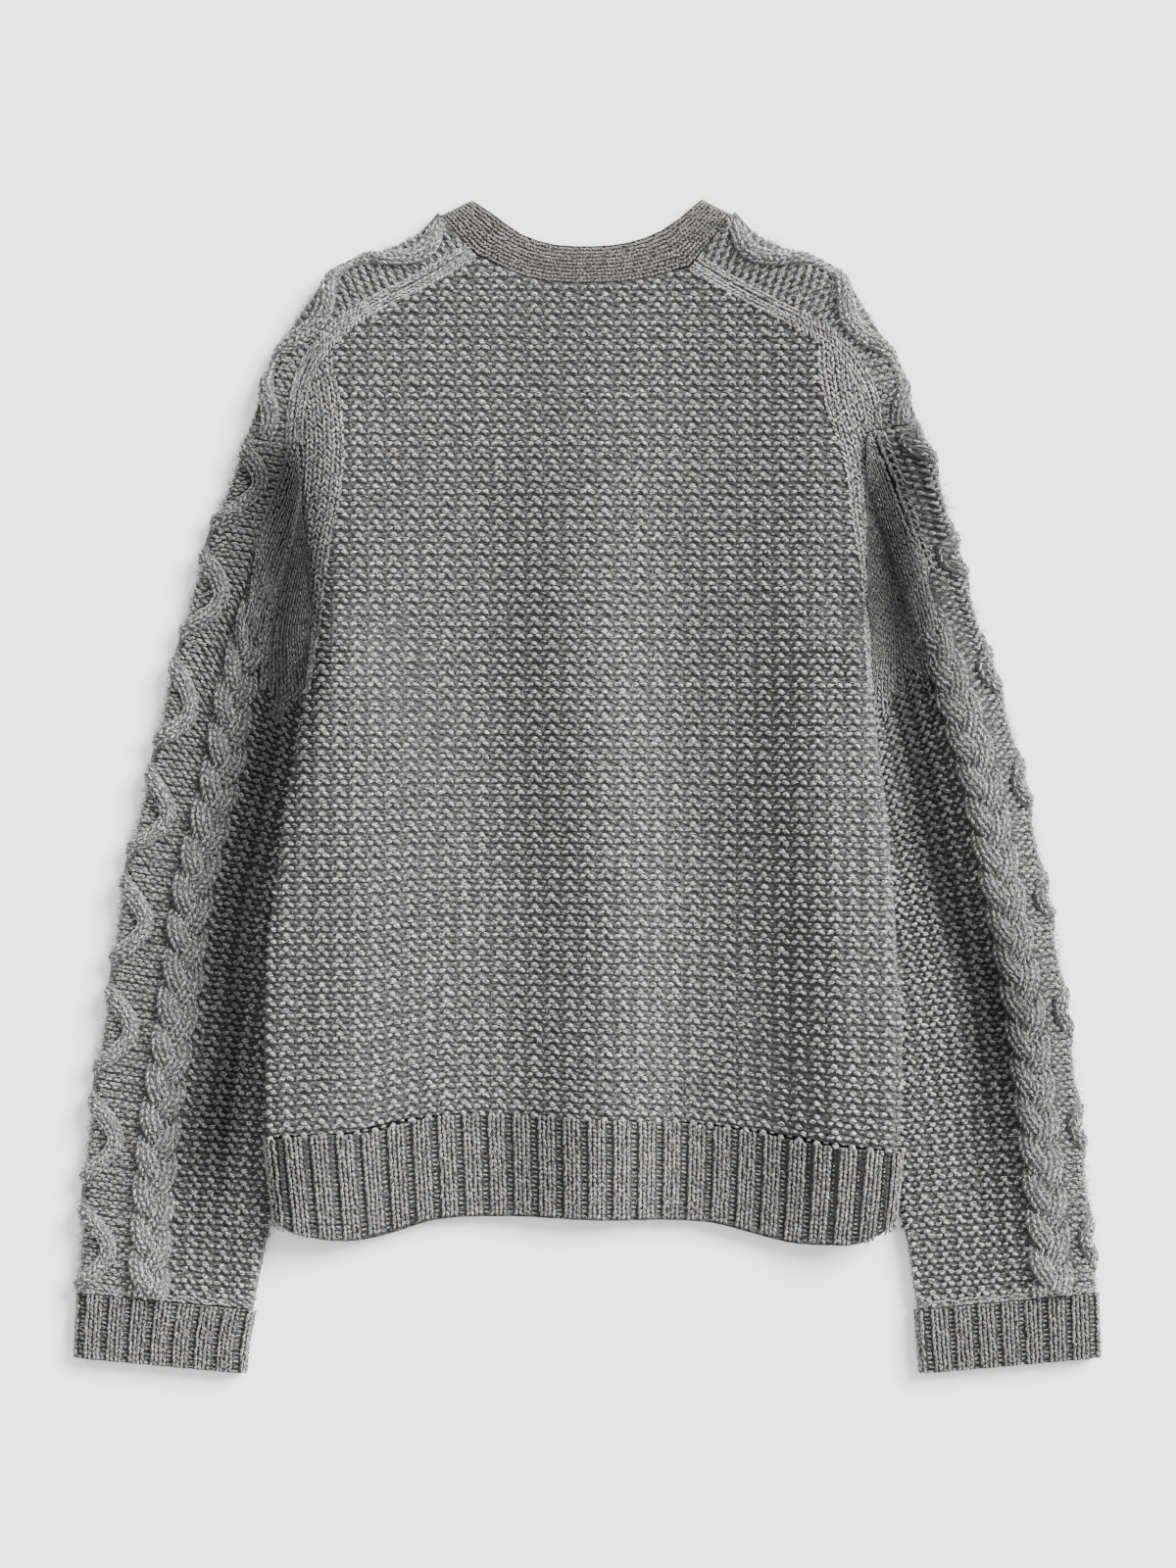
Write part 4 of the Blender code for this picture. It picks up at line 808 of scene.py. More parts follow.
def settle(points):
    """Soft rolls down the back, and the hollows beside it.

    Heights only, and nothing near the floor moves, so no layer passes through another.
    """
    x, y, z = points[:, 0], points[:, 1], points[:, 2]
    side = np.where(x < 0.0, body_edge("left", y), body_edge("right", y))
    out = np.abs(x) - np.abs(side)
    rim = RIM_HEIGHT * np.exp(-(((out + 8.0) / 9.0) ** 2)) * smoothstep((y + 300.0) / 60.0)
    rim = rim * (1.0 - smoothstep((y - 90.0) / 60.0))
    rise = rolls_at(x, y) + rim - HOLLOW_DEPTH * hollow_at(x, y)
    settled = points.copy()
    settled[:, 2] = z + rise * smoothstep((z - 2.0) / 20.0)
    return settled


def painted_shading_at(points):
    """Painted shade and light: darker in the shadows and SHADES, lighter where a roll falls to the light.
    """
    x, y = points[:, 0], points[:, 1]
    fall = (rolls_at(x - 2.0, y) - rolls_at(x + 2.0, y)) / 4.0
    tone = (1.0 - shadow_at(x, y)) * (1.0 + FALL_LIGHT * fall)
    for place_x, place_y, wide, tall, depth in SHADES:
        away = ((x - place_x) / wide) ** 2 + ((y - place_y) / tall) ** 2
        tone = tone * (1.0 - depth * np.exp(-away))
    return tone


# ---- small shapes --------------------------------------------------------
def spindle(arch, sharp):
    """A stitch: points (along, across, up) from -1 to 1, and its faces."""
    points, faces = [(-1.0, -arch, -0.2)], []
    for a in (-0.6, 0.0, 0.6):
        wide = (1.0 - a * a) ** (0.5 + sharp)
        for degrees in (0.0, 62.0, 118.0, 180.0):
            angle = math.radians(degrees)
            points.append((a, wide * math.cos(angle) - arch * a * a, wide * math.sin(angle) - 0.25))
    points.append((1.0, -arch, -0.2))
    for k in range(3):
        faces.append((0, 1 + k, 2 + k))
        faces.append((13, 11 - k, 10 - k))
        for ring in (1, 5):
            faces.append((ring + k, ring + 4 + k, ring + 5 + k, ring + 1 + k))
    return np.array(points), faces


BUMP = spindle(0.45, 0.0)
LEAF = spindle(0.0, 0.15)


class Knit:
    """Stitches gathered for one piece, then made into one mesh."""

    def __init__(self):
        self.points, self.corners, self.counts, self.texture, self.slots = [], [], [], [], []
        self.total = 0

    def add(self, surface, u, v, angle, size, shape, sink=0.0, slot=YARN):
        """Lays copies of shape on a surface; size is half length, half width, height."""
        template, faces = shape
        u = np.asarray(u, float).ravel()
        v, angle = (np.broadcast_to(np.asarray(x, float), u.shape) for x in (v, angle))
        if len(u) == 0:
            return
        a, b, c = template.T
        jitter = CHANCE.normal(0.0, 1.0, (6, len(u), 1))
        angle = angle[:, None] + TURN_SPREAD * jitter[0]
        long_, wide, high = (
            np.broadcast_to(part, u.shape)[:, None] * (1.0 + spread * chance)
            for part, spread, chance in zip(size, SIZE_SPREAD, jitter[1:4])
        )
        du = a * long_ * np.cos(angle) - b * wide * np.sin(angle)
        dv = a * long_ * np.sin(angle) + b * wide * np.cos(angle)
        place_u = u[:, None] + PLACE_SPREAD * jitter[4] + du / stretch(surface, u, v, 0.5, 0.0)
        place_v = v[:, None] + PLACE_SPREAD * jitter[5] + dv / stretch(surface, u, v, 0.0, 0.5)
        up = normals(surface, u, v)[:, None, :]
        points = surface(place_u, place_v) + up * (c * high - sink)[..., None]
        self.take(points.reshape(-1, 3), faces, len(u), len(template), slot)
        offset = CHANCE.uniform(0.0, 400.0, (len(u), 1))
        texture = np.stack([a * long_ + offset, b * wide * 1.4 + 0.37 * offset], -1)
        self.texture.append(texture.reshape(-1, 2))

    def take(self, points, faces, copies, step, slot=YARN):
        """Keeps the points of some copies, each of step points, and numbers their faces."""
        counts = np.array([len(face) for face in faces])
        flat = np.concatenate([np.array(face) for face in faces])
        shift = self.total + step * np.arange(copies)[:, None]
        self.corners.append((flat[None, :] + shift).ravel())
        self.counts.append(np.tile(counts, copies))
        self.slots.append(np.full(len(faces) * copies, slot))
        self.points.append(points)
        self.total += len(points)

    def add_fibres(self, surface, u, v, reach):
        """Loose fibres that stand off the yarn, each a thin bent ribbon."""
        up = normals(surface, u, v)
        base = surface(u, v) + up
        count = len(base)
        way = CHANCE.normal(0.0, 1.0, (count, 3)) + 0.5 * up
        way /= np.linalg.norm(way, axis=1, keepdims=True)
        way *= reach * CHANCE.uniform(0.4, 1.0, (count, 1))
        bend_by = 0.35 * np.abs(way).max(axis=1, keepdims=True)
        tip = base + way + bend_by * CHANCE.normal(0.0, 1.0, (count, 3))
        side = np.cross(way, CHANCE.normal(0.0, 1.0, (count, 3)))
        side *= FIBRE / np.maximum(np.linalg.norm(side, axis=1, keepdims=True), 1e-9)
        middle = base + 0.55 * way
        thin = 0.4 * side
        ribbon = (base - side, base + side, middle - side, middle + side, tip - thin, tip + thin)
        self.take(np.stack(ribbon, 1).reshape(-1, 3), [(0, 1, 3, 2), (2, 3, 5, 4)], count, 6)
        self.texture.append(CHANCE.uniform(0.0, 400.0, (6 * count, 2)))

    def add_strip(self, surface, us, vs):
        """A plain piece of a surface, as a grid of quads."""
        u, v = np.meshgrid(us, vs)
        points = surface(u, v).reshape(-1, 3)
        wide = len(us)
        faces = []
        for row in wide * np.arange(len(vs) - 1):
            faces.extend((k, k + 1, k + wide + 1, k + wide) for k in range(row, row + wide - 1))
        self.take(points, faces, 1, len(points), STRAND_CLOTH)
        self.texture.append(np.stack([v, u], -1).reshape(-1, 2))

    def make(self, name, materials):
        flat = np.concatenate(self.points)
        points = settle(flat) * MM
        points[:, 2] = np.maximum(points[:, 2], 0.0)
        corners, counts = np.concatenate(self.corners), np.concatenate(self.counts)
        mesh = bpy.data.meshes.new(name)
        mesh.vertices.add(len(points))
        mesh.vertices.foreach_set("co", points.ravel())
        mesh.loops.add(len(corners))
        mesh.loops.foreach_set("vertex_index", corners)
        mesh.polygons.add(len(counts))
        starts = np.concatenate([[0], np.cumsum(counts)[:-1]])
        mesh.polygons.foreach_set("loop_start", starts)
        mesh.polygons.foreach_set("material_index", np.concatenate(self.slots))
        mesh.update(calc_edges=True)
        mesh.validate()
        layer = mesh.uv_layers.new(name="yarn")
        layer.data.foreach_set("uv", (np.concatenate(self.texture)[corners] * 0.1).ravel())
        # Painted shade and light, stored with each point as its tone.
        add_painted_shading(mesh, flat)
        mesh.shade_smooth()
        for material in materials:
            mesh.materials.append(material)
        piece = bpy.data.objects.new(name, mesh)
        bpy.context.scene.collection.objects.link(piece)
        return piece


def add_painted_shading(mesh, points):
    """Stores with each point its painted shade and light."""
    tone = mesh.attributes.new("tone", "FLOAT", "POINT")
    tone.data.foreach_set("value", painted_shading_at(points))


# ---- patterns ------------------------------------------------------------
def rows_and_columns(us, vs):
    u, v = np.meshgrid(us, vs)
    return u.ravel(), v.ravel()


def star_size(part, wale, pair):
    """Half length, half width and height of one part of a star of the waffle stitch."""
    long_, wide, high = STAR[part]
    return long_ * wale, wide * pair, high


def waffle(knit, surface, us, vs, wale, pair, keep, way=1.0):
    """A star of three purl bumps in every second column, a sunken one between."""
    u, v = rows_and_columns(us, vs)
    even = np.tile(np.arange(len(us)), len(vs)) % 2 == 0
    foot_u = u + 0.5 * wale
    foot = keep(foot_u, v)
    tilt = np.where(even, -STAR_TILT, STAR_TILT) * way
    knit.add(surface, foot_u[foot], v[foot], tilt[foot], star_size("foot", wale, pair), BUMP)
    lift_v = v + way * 0.41 * pair
    crest = keep(u, lift_v) & even
    knit.add(surface, u[crest], lift_v[crest], 0.0, star_size("crest", wale, pair), BUMP)
    low_v = v + way * 0.54 * pair
    low = keep(u, low_v) & ~even
    # The sunken bumps take the darker yarn: painted shade.
    knit.add(surface, u[low], low_v[low], 0.0, star_size("low", wale, pair), BUMP, 1.1, SHADE_PAINTED_YARN)


def purl(knit, surface, us, start, end, keep):
    """Reverse side of plain knit: columns of small arcs, each column set over by a row."""
    size = (0.5 * PURL, 0.5 * PURL_ROW, 1.5)
    for odd in (0, 1):
        u, v = paced(surface, us[odd::2], start + odd * PURL_ROW, end, 2.0 * PURL_ROW)
        u, v = np.concatenate(u), np.concatenate(v)
        ok = keep(u, v)
        # The purl takes the darker yarn: painted shade in the recessed ground.
        knit.add(surface, u[ok], v[ok], odd * math.pi, size, BUMP, 0.2, SHADE_PAINTED_YARN)


def legs(knit, surface, us, vs, keep, size, slant):
    """Columns of V stitches: legs that lean left and right in turn, along v."""
    u, v = rows_and_columns(us, vs)
    lean = np.where(np.tile(np.arange(len(us)), len(vs)) % 2 == 0, slant, -slant)
    ok = keep(u, v)
    knit.add(surface, u[ok], v[ok], (math.pi / 2.0 + lean)[ok], size, LEAF)


def ribbing(knit, surface, ridges, pitch, vs, shares, size):
    """Two columns of V stitches on each ridge, and one of small bumps in each groove."""
    for share, lean in zip(shares, (RIB_LEAN, -RIB_LEAN, RIB_LEAN, -RIB_LEAN)):
        u, v = rows_and_columns(ridges + share * pitch, vs)
        knit.add(surface, u, v, math.pi / 2.0 + lean, size, LEAF)
    u, v = rows_and_columns(ridges, vs)
    knit.add(surface, u, v, 0.0, GROOVE_BUMP, BUMP, 0.1)


def fuzz(knit, surface, us, vs, count, reach=5.0):
    """Loose fibres spread over a part of a surface."""
    u = CHANCE.uniform(us[0], us[1], count)
    v = CHANCE.uniform(vs[0], vs[1], count)
    knit.add_fibres(surface, u, v, reach)


def paced(surface, us, start, end, course):
    """Places along each line of constant u that are a course apart in space."""
    close = np.linspace(start, end, 500)
    u, v = [], []
    for column in us:
        run = lengths(surface(np.full(len(close), column), close))
        steps = np.arange(0.0, run[-1], course)
        u.append(np.full(len(steps), column))
        v.append(np.interp(steps, run, close))
    return u, v


# ---- materials -----------------------------------------------------------
def feed(tree, node, inputs):
    """Sets a node's inputs to numbers and colours, or joins them to other nodes' outputs."""
    for key, value in inputs.items():
        if isinstance(value, bpy.types.NodeSocket):
            tree.links.new(value, node.inputs[key])
        else:
            node.inputs[key].default_value = value


def add_node(tree, kind, inputs, output=0, operation=None):
    """Adds a node with these inputs, and gives back one of its outputs."""
    node = tree.nodes.new("ShaderNode" + kind)
    if operation:
        node.operation = operation
    feed(tree, node, inputs)
    return node.outputs[output]


def add_ramp(tree, factor, first, last, between=()):
    """A colour ramp; each stop is its position and its colour."""
    ramp = tree.nodes.new("ShaderNodeValToRGB")
    feed(tree, ramp, {"Fac": factor})
    stops = ramp.color_ramp.elements
    for stop, (position, colour) in zip(stops, (first, last)):
        stop.position = position
        stop.color = colour
    for position, colour in between:
        stops.new(position).color = colour
    return ramp.outputs["Color"]


def add_bump(tree, height, strength, distance):
    inputs = {"Height": height, "Strength": strength, "Distance": distance}
    return add_node(tree, "Bump", inputs, "Normal")


def new_material(name):
    """A material with its node tree and its shader."""
    material = bpy.data.materials.new(name)
    material.use_nodes = True
    return material, material.node_tree, material.node_tree.nodes["Principled BSDF"]


def times_painted_shading(tree, value):
    """The value times the painted shade and light stored with the mesh as its tone."""
    stored = tree.nodes.new("ShaderNodeAttribute")
    stored.attribute_name = "tone"
    return add_node(tree, "Math", {0: stored.outputs["Fac"], 1: value}, operation="MULTIPLY")


def yarn_material(name, dark, middle, light, coarse):
    """Melange yarn: dark and light fibres twisted along each stitch."""
    material, tree, shader = new_material(name)
    chart = tree.nodes.new("ShaderNodeUVMap")
    chart.uv_map = "yarn"
    twist = {"Vector": chart.outputs["UV"], "Rotation": (0.0, 0.0, 0.5), "Scale": (4.0, 11.0, 1.0)}
    fibres = add_node(tree, "TexNoise", {
        "Vector": add_node(tree, "Mapping", twist), "Scale": coarse, "Detail": 3.0, "Roughness": 0.7,
    }, "Fac")
    colour = add_ramp(tree, fibres, (0.44, (*dark, 1.0)), (0.575, (*light, 1.0)), [(0.5, (*middle, 1.0))])
    place = add_node(tree, "TexCoord", {}, "Object")
    patches = add_node(tree, "TexNoise", {"Vector": place, "Scale": 240.0, "Detail": 4.0}, "Fac")
    # Random patches of the yarn's own tone.
    patch_tone = add_node(tree, "MapRange", {
        "Value": patches, "From Min": 0.3, "From Max": 0.7, "To Min": 0.6, "To Max": 1.4,
    }, "Result")
    # Times the stored tone, which is painted shade and light.
    tone = times_painted_shading(tree, patch_tone)
    toned = add_node(tree, "VectorMath", {0: colour, "Scale": tone}, operation="SCALE")
    flecks = add_node(tree, "TexNoise", {"Vector": place, "Scale": 620.0, "Detail": 1.0}, "Fac")
    tint = add_ramp(tree, flecks, (0.40, (1.07, 1.0, 0.88, 1.0)), (0.60, (0.97, 0.98, 1.07, 1.0)))
    feed(tree, shader, {
        "Base Color": add_node(tree, "VectorMath", {0: toned, 1: tint}, operation="MULTIPLY"),
        "Normal": add_bump(tree, fibres, 0.5, 0.0006),
        "Roughness": 0.88, "Sheen Weight": 0.25, "Sheen Roughness": 0.5, "Specular IOR Level": 0.2,
    })
    return material


def lighter_at_edges(tree):
    """From 1 where the cloth looks up, in painted shade under its stitches, to EDGE_LIGHT at its bare
    edges.
    """
    normal = add_node(tree, "NewGeometry", {}, "Normal")
    return add_node(tree, "MapRange", {
        "Value": add_node(tree, "SeparateXYZ", {"Vector": normal}, "Z"),
        "From Min": 0.1, "From Max": 0.7, "To Min": EDGE_LIGHT, "To Max": 1.0,
    }, "Result")


def cloth_material(name, colour, wale, row):
    """The cloth beneath the stitches, darkened as painted shade between them, and plain knit where
    nothing lies on it.
    """
    material, tree, shader = new_material(name)
    place = add_node(tree, "TexCoord", {}, "Object")
    waves = []
    for axis, pitch in (("X", wale), ("Y", row)):
        along_axis = add_node(tree, "SeparateXYZ", {"Vector": place}, axis)
        turn = add_node(tree, "Math", {0: along_axis, 1: math.pi / (pitch * MM)}, operation="MULTIPLY")
        waves.append(add_node(tree, "Math", {0: turn}, operation="SINE"))
    cells = add_node(tree, "Math", {0: waves[0], 1: waves[1]}, operation="MULTIPLY")
    fibres = add_node(tree, "TexNoise", {"Vector": place, "Scale": 900.0, "Detail": 3.0}, "Fac")
    dark = [0.35 * part for part in colour]
    melange = add_ramp(tree, fibres, (0.35, (*dark, 1.0)), (0.65, (*colour, 1.0)))
    # Painted shade and light from the stored tone, lifted at the bare edges.
    tone = times_painted_shading(tree, lighter_at_edges(tree))
    feed(tree, shader, {
        "Base Color": add_node(tree, "VectorMath", {0: melange, "Scale": tone}, operation="SCALE"),
        "Normal": add_bump(tree, cells, 0.8, 0.0012), "Roughness": 0.95, "Specular IOR Level": 0.1,
    })
    return material


def button_material():
    """Horn-like resin: dark brown with pale streaks."""
    material, tree, shader = new_material("button_resin")
    streaks = add_node(tree, "TexNoise", {
        "Vector": add_node(tree, "TexCoord", {}, "Object"), "Scale": 180.0, "Distortion": 1.5,
    }, "Fac")
    brown = add_ramp(tree, streaks, (0.35, (0.018, 0.013, 0.010, 1.0)), (0.75, (0.11, 0.075, 0.05, 1.0)))
    feed(tree, shader, {"Base Color": brown, "Roughness": 0.3})
    return material


# ---- pieces --------------------------------------------------------------
def cloth_of(node, material):
    """The cloth of one panel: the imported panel's own form, as a piece that can be dressed."""
    source = frame["nodes"][node]
    piece = bpy.data.objects.new(node + "_cloth", source.data.copy())
    split_faces(piece.data)
    bend(piece.data)
    piece.data.materials.clear()
    piece.data.materials.append(material)
    bpy.context.scene.collection.objects.link(piece)
    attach(piece, "root")
    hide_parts(node)


def cloth_for(node):
    """The material of a panel's cloth."""
    if node.startswith(("band", "neckband")):
        return cloths["fine_cloth"]
    if node.startswith(("cuff", "hem")):
        return cloths["rib_cloth"]
    return cloths["knit_cloth"]


def split_faces(mesh):
    """Every edge in two, so that the cloth can follow the soft rolls."""
    form = bmesh.new()
    form.from_mesh(mesh)
    bmesh.ops.remove_doubles(form, verts=form.verts, dist=1e-6)
    bmesh.ops.triangulate(form, faces=form.faces)
    bmesh.ops.subdivide_edges(form, edges=form.edges, cuts=1, use_grid_fill=True)
    form.to_mesh(mesh)
    form.free()


def bend(mesh):
    """Settles a cloth, and lets its upper side sink a little under the stitches."""
    points = np.empty(3 * len(mesh.vertices))
    mesh.vertices.foreach_get("co", points)
    points = points.reshape(-1, 3) / MM
    # Painted shade and light, stored with each point of the cloth as its tone.
    add_painted_shading(mesh, points)
    points = settle(points)
    points[:, 2] -= SUNK * smoothstep((points[:, 2] - 4.0) / 4.0)
    mesh.vertices.foreach_set("co", (points * MM).ravel())
    mesh.update()


def finish_knit(knit, name, materials):
    piece = knit.make(name, materials)
    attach(piece, "root")
    return piece


def hem_drop(x, y):
    """How far the rows of the back are moved, to follow the seam of the hem near it."""
    return (read(HEM_SEAM, x) - HEM_MEAN) * np.exp(-(y - HEM_MEAN) / 90.0)


def knit_back(materials):
    knit = Knit()
    half = math.ceil(185.0 / WALE)
    us = WALE * np.arange(-half, half + 1)
    vs = np.arange(-206.0, 322.0, PAIR)

    def follow(u, v):
        return back_at(u, v + hem_drop(u, v))

    def inside(u, v):
        left = np.where(v < 60.0, body_edge("left", v) - 1.0, read(WAFFLE_LEFT, v, 1, 0))
        right = np.where(v < 60.0, body_edge("right", v) + 1.0, read(WAFFLE_RIGHT, v, 1, 0))
        above_hem = v + hem_drop(u, v) > read(HEM_SEAM, u) + 0.5
        return (u > left) & (u < right) & below_top(u, v) & above_hem

    waffle(knit, Place(follow, 0.0, 0.0), us, vs, WALE, PAIR, inside)
    for sign, border in ((-1.0, WAFFLE_LEFT), (1.0, WAFFLE_RIGHT)):
        knit_strip(knit, sign, border)
    fuzz(knit, Place(back_at, 0.0, 0.0), (-178.0, 178.0), (-200.0, 200.0), 2200)
    return finish_knit(knit, "back_stitches", materials)


def knit_strip(knit, sign, border):
    """Plain V stitches between the waffle and an armhole; their columns follow its border."""
    side = "left" if sign < 0.0 else "right"

    def place(u, v):
        u, v = np.broadcast_arrays(u, v)
        return back_at(read(border, v, 1, 0) + sign * u, v)

    def on_strip(u, v):
        x = read(border, v, 1, 0) + sign * u
        return (sign * x < np.abs(body_edge(side, v)) + 4.0) & below_top(x, v + 1.5)

    columns = 0.4 + LEG * np.arange(0, 14)
    courses = np.arange(58.0, 300.0, COURSE)
    legs(knit, Place(place, 5.0, 100.0), columns, courses, on_strip, V_SIZE, V_LEAN)


def below_top(x, y):
    """Whether a place on the back lies clear of its shoulder and neck seams."""
    return y < np.interp(x, TOP_X, TOP_Y) - 1.2


def knit_hem(materials):
    knit = Knit()
    half = 197.0
    base = Place(lambda u, v: hem_at(u, v / HEM_DEPTH), 0.0, 20.0)
    surface = raised(base, lambda u, v: RIDGE * rib_relief(u, RIB_PITCH), 0.0, 20.0)
    count = int(half // RIB_PITCH)
    vs = np.arange(1.0, HEM_DEPTH, RIB_COURSE)
    ridges = RIB_PITCH * np.arange(-count, count)
    ribbing(knit, surface, ridges, RIB_PITCH, vs, *HEM_RIB)
    fuzz(knit, base, (-half, half), (2.0, HEM_DEPTH), 700)
    fuzz(knit, base, (-half, half), (HEM_DEPTH - 3.0, HEM_DEPTH), 500)
    return finish_knit(knit, "hem_back_stitches", materials)


def knit_cuff(side, materials):
    knit = Knit()
    grid, total, depth = cuff_grid(side)
    pitch = total / CUFF_RIDGES

    def relief(u, v):
        return RIDGE * rib_relief(u, pitch) * (normals(grid, u, v)[..., 2] > -0.2)

    surface = raised(grid, relief, 0.25 * total, 0.5 * depth)
    vs = np.arange(0.5, depth, RIB_COURSE)
    ridges = pitch * np.arange(0, CUFF_RIDGES)
    ribbing(knit, surface, ridges, pitch, vs, *CUFF_RIB)
    fuzz(knit, surface, (0.0, total), (0.0, depth), 400)
    return finish_knit(knit, "cuff_" + side + "_stitches", materials)


class Sleeve:
    """The upper side of one sleeve, and where each pattern lies on it."""

    def __init__(self, side):
        self.side = side
        self.grid, self.widths, self.vs = sleeve_grid(side)
        self.row_ys = self.grid(0.0, self.vs)[:, 1]
        self.plait = SIDES[side]["plait"]
        self.begin = PLAIT_STARTS[side]
        self.end = self.vs[-1] - 1.5

    def wave_at(self, v):
        return wave_middle(self.side, np.interp(v, self.vs, self.row_ys))

    def width_at(self, v):
        return np.interp(v, self.vs, self.widths)

    def waffle_start(self, u):
        """Where the waffle begins under the V stitches of the sleeve's top."""
        return 132.0 + 9.0 * np.sin(u / 5.1) + 7.0 * np.sin(u / 2.3 + 1.0)

    def on_purl(self, u, v):
        beside_cables = (np.abs(u - self.wave_at(v)) > WAVE_HALF) & (u < self.plait - PLAIT_HALF + 0.5)
        return beside_cables & (v < self.end) & (u > -11.0)

    def in_waffle(self, u, v):
        across = (u > self.plait + PLAIT_HALF) & (u < self.width_at(v) + 9.0)
        return across & (v < self.end - 1.0) & (v > self.waffle_start(u))

    def in_plain(self, u, v):
        begun = v - self.begin
        reach = np.where(begun < 10.0, -PLAIT_HALF - 3.0, PLAIT_HALF - 4.0 * (begun < 50.0))
        across = (u > self.plait + reach) & (u < self.width_at(v) + 2.0)
        return across & (v < self.waffle_start(u) - 1.0)

    def ridge(self, u, v):
        return CABLE * np.sqrt(np.clip(1.0 - ((u - self.plait) / (PLAIT_HALF + 2.0)) ** 2, 0.0, 1.0))


def knit_sleeve(side, materials):
    knit = Knit()
    sleeve = Sleeve(side)
    grid, end, inner = sleeve.grid, sleeve.end, sleeve.plait + PLAIT_HALF
    knit_cables(knit, sleeve)
    purl(knit, grid, np.arange(-12.0, sleeve.plait - 8.0, 0.5 * PURL), -1.0, end, sleeve.on_purl)
    columns = inner + 1.5 + SLEEVE_WALE * np.arange(0, 22)
    courses = np.arange(2.0, end, SLEEVE_PAIR)
    waffle(knit, grid, columns, courses, SLEEVE_WALE, SLEEVE_PAIR, sleeve.in_waffle, -1.0)
    knit_sleeve_top(knit, sleeve)
    knit_sleeve_seams(knit, sleeve)
    fuzz(knit, grid, (-12.0, 70.0), (0.0, end), 2000)
    fuzz(knit, grid, (-9.0, 1.0), (0.0, end), 2400)
    return finish_knit(knit, "sleeve_" + side + "_stitches", materials)


def knit_cables(knit, sleeve):
    """The wave's strand and the three of the plait."""
    def rising(v):
        """The wave's strand comes out of the seam at the sleeve's head."""
        return 0.3 - 3.0 * (1.0 - smoothstep(v / 16.0))

    strand_legs(knit, Strand(sleeve.grid, sleeve.wave_at, rising, 0.5, sleeve.end, WAVE_HALF, WAVE + 1.4))
    for k in range(3):
        strand_legs(knit, plait_strand(sleeve, k))


def knit_sleeve_top(knit, sleeve):
    """Plain V stitches over the head of the sleeve, and over the plait before it crosses."""
    ridged = raised(sleeve.grid, sleeve.ridge, sleeve.plait, sleeve.vs[40])
    columns = sleeve.plait - PLAIT_HALF + LEG * np.arange(-1, 48)
    for k, (u, v) in enumerate(zip(*paced(ridged, columns, -1.0, 160.0, COURSE))):
        ok = sleeve.in_plain(u, v)
        lean = V_LEAN if k % 2 == 0 else -V_LEAN
        knit.add(ridged, u[ok], v[ok], math.pi / 2.0 + lean, V_SIZE, LEAF)


def knit_sleeve_seams(knit, sleeve):
    """Rows of uneven bumps along the seams of the armhole and of the cuff."""
    lumps = np.arange(-6.0, sleeve.width_at(0.0), 3.2)
    for v in (-2.4, 0.0, 2.2):
        uneven = v + CHANCE.normal(0.0, 0.4, len(lumps))
        knit.add(sleeve.grid, lumps + v, uneven, 0.0, (2.5, 1.5, 2.2), BUMP)
    row = np.arange(-11.0, sleeve.widths[-1] + 9.0, 2.7)
    for away in (0.8, 3.1):
        uneven = sleeve.vs[-1] - away + CHANCE.normal(0.0, 0.6, len(row))
        # The cuff seam's lower bumps take the darker yarn: painted shade.
        knit.add(sleeve.grid, row + away, uneven, 0.2, (2.3, 1.1, 1.6), BUMP, 0.4, SHADE_PAINTED_YARN)


def plait_strand(sleeve, k):
    """One of the three strands; they rise out of the plain knit before they cross."""
    def phase(v):
        return 2.0 * np.pi * (v / PLAIT_PERIOD + k / 3.0)

    def swing(v):
        return smoothstep((v - sleeve.begin) / 50.0)

    def middle(v):
        return sleeve.plait + PLAIT_SWING * mix(k - 1.0, np.sin(phase(v)), swing(v))

    def height(v):
        sunk = 2.6 * (1.0 - smoothstep((v - sleeve.begin + 30.0) / 40.0))
        return 0.6 - sunk - swing(v) * (2.3 * np.sin(2.0 * phase(v)) - 0.7)

    start = max(2.0, sleeve.begin - 30.0)
    return Strand(sleeve.grid, middle, height, start, sleeve.end, STRAND, 2.7)


def strand_legs(knit, strand):
    """A strand's body with two columns of V stitches on it."""
    half, length = strand.half, strand.run[-1]
    knit.add_strip(strand, half * np.cos(np.linspace(np.pi, 0.0, 7)), np.arange(0.0, length, 2.5))

    def upper(u, v):
        at = np.interp(v, strand.run, strand.at)
        return normals(strand.base, strand.middle(at), at)[..., 2] > 0.1

    columns = 0.5 * half * np.array([-1.5, -0.5, 0.5, 1.5])
    courses = np.arange(1.0, length, STRAND_COURSE)
    legs(knit, strand, columns, courses, upper, (2.7, 0.18 * half, 1.5), 0.36)


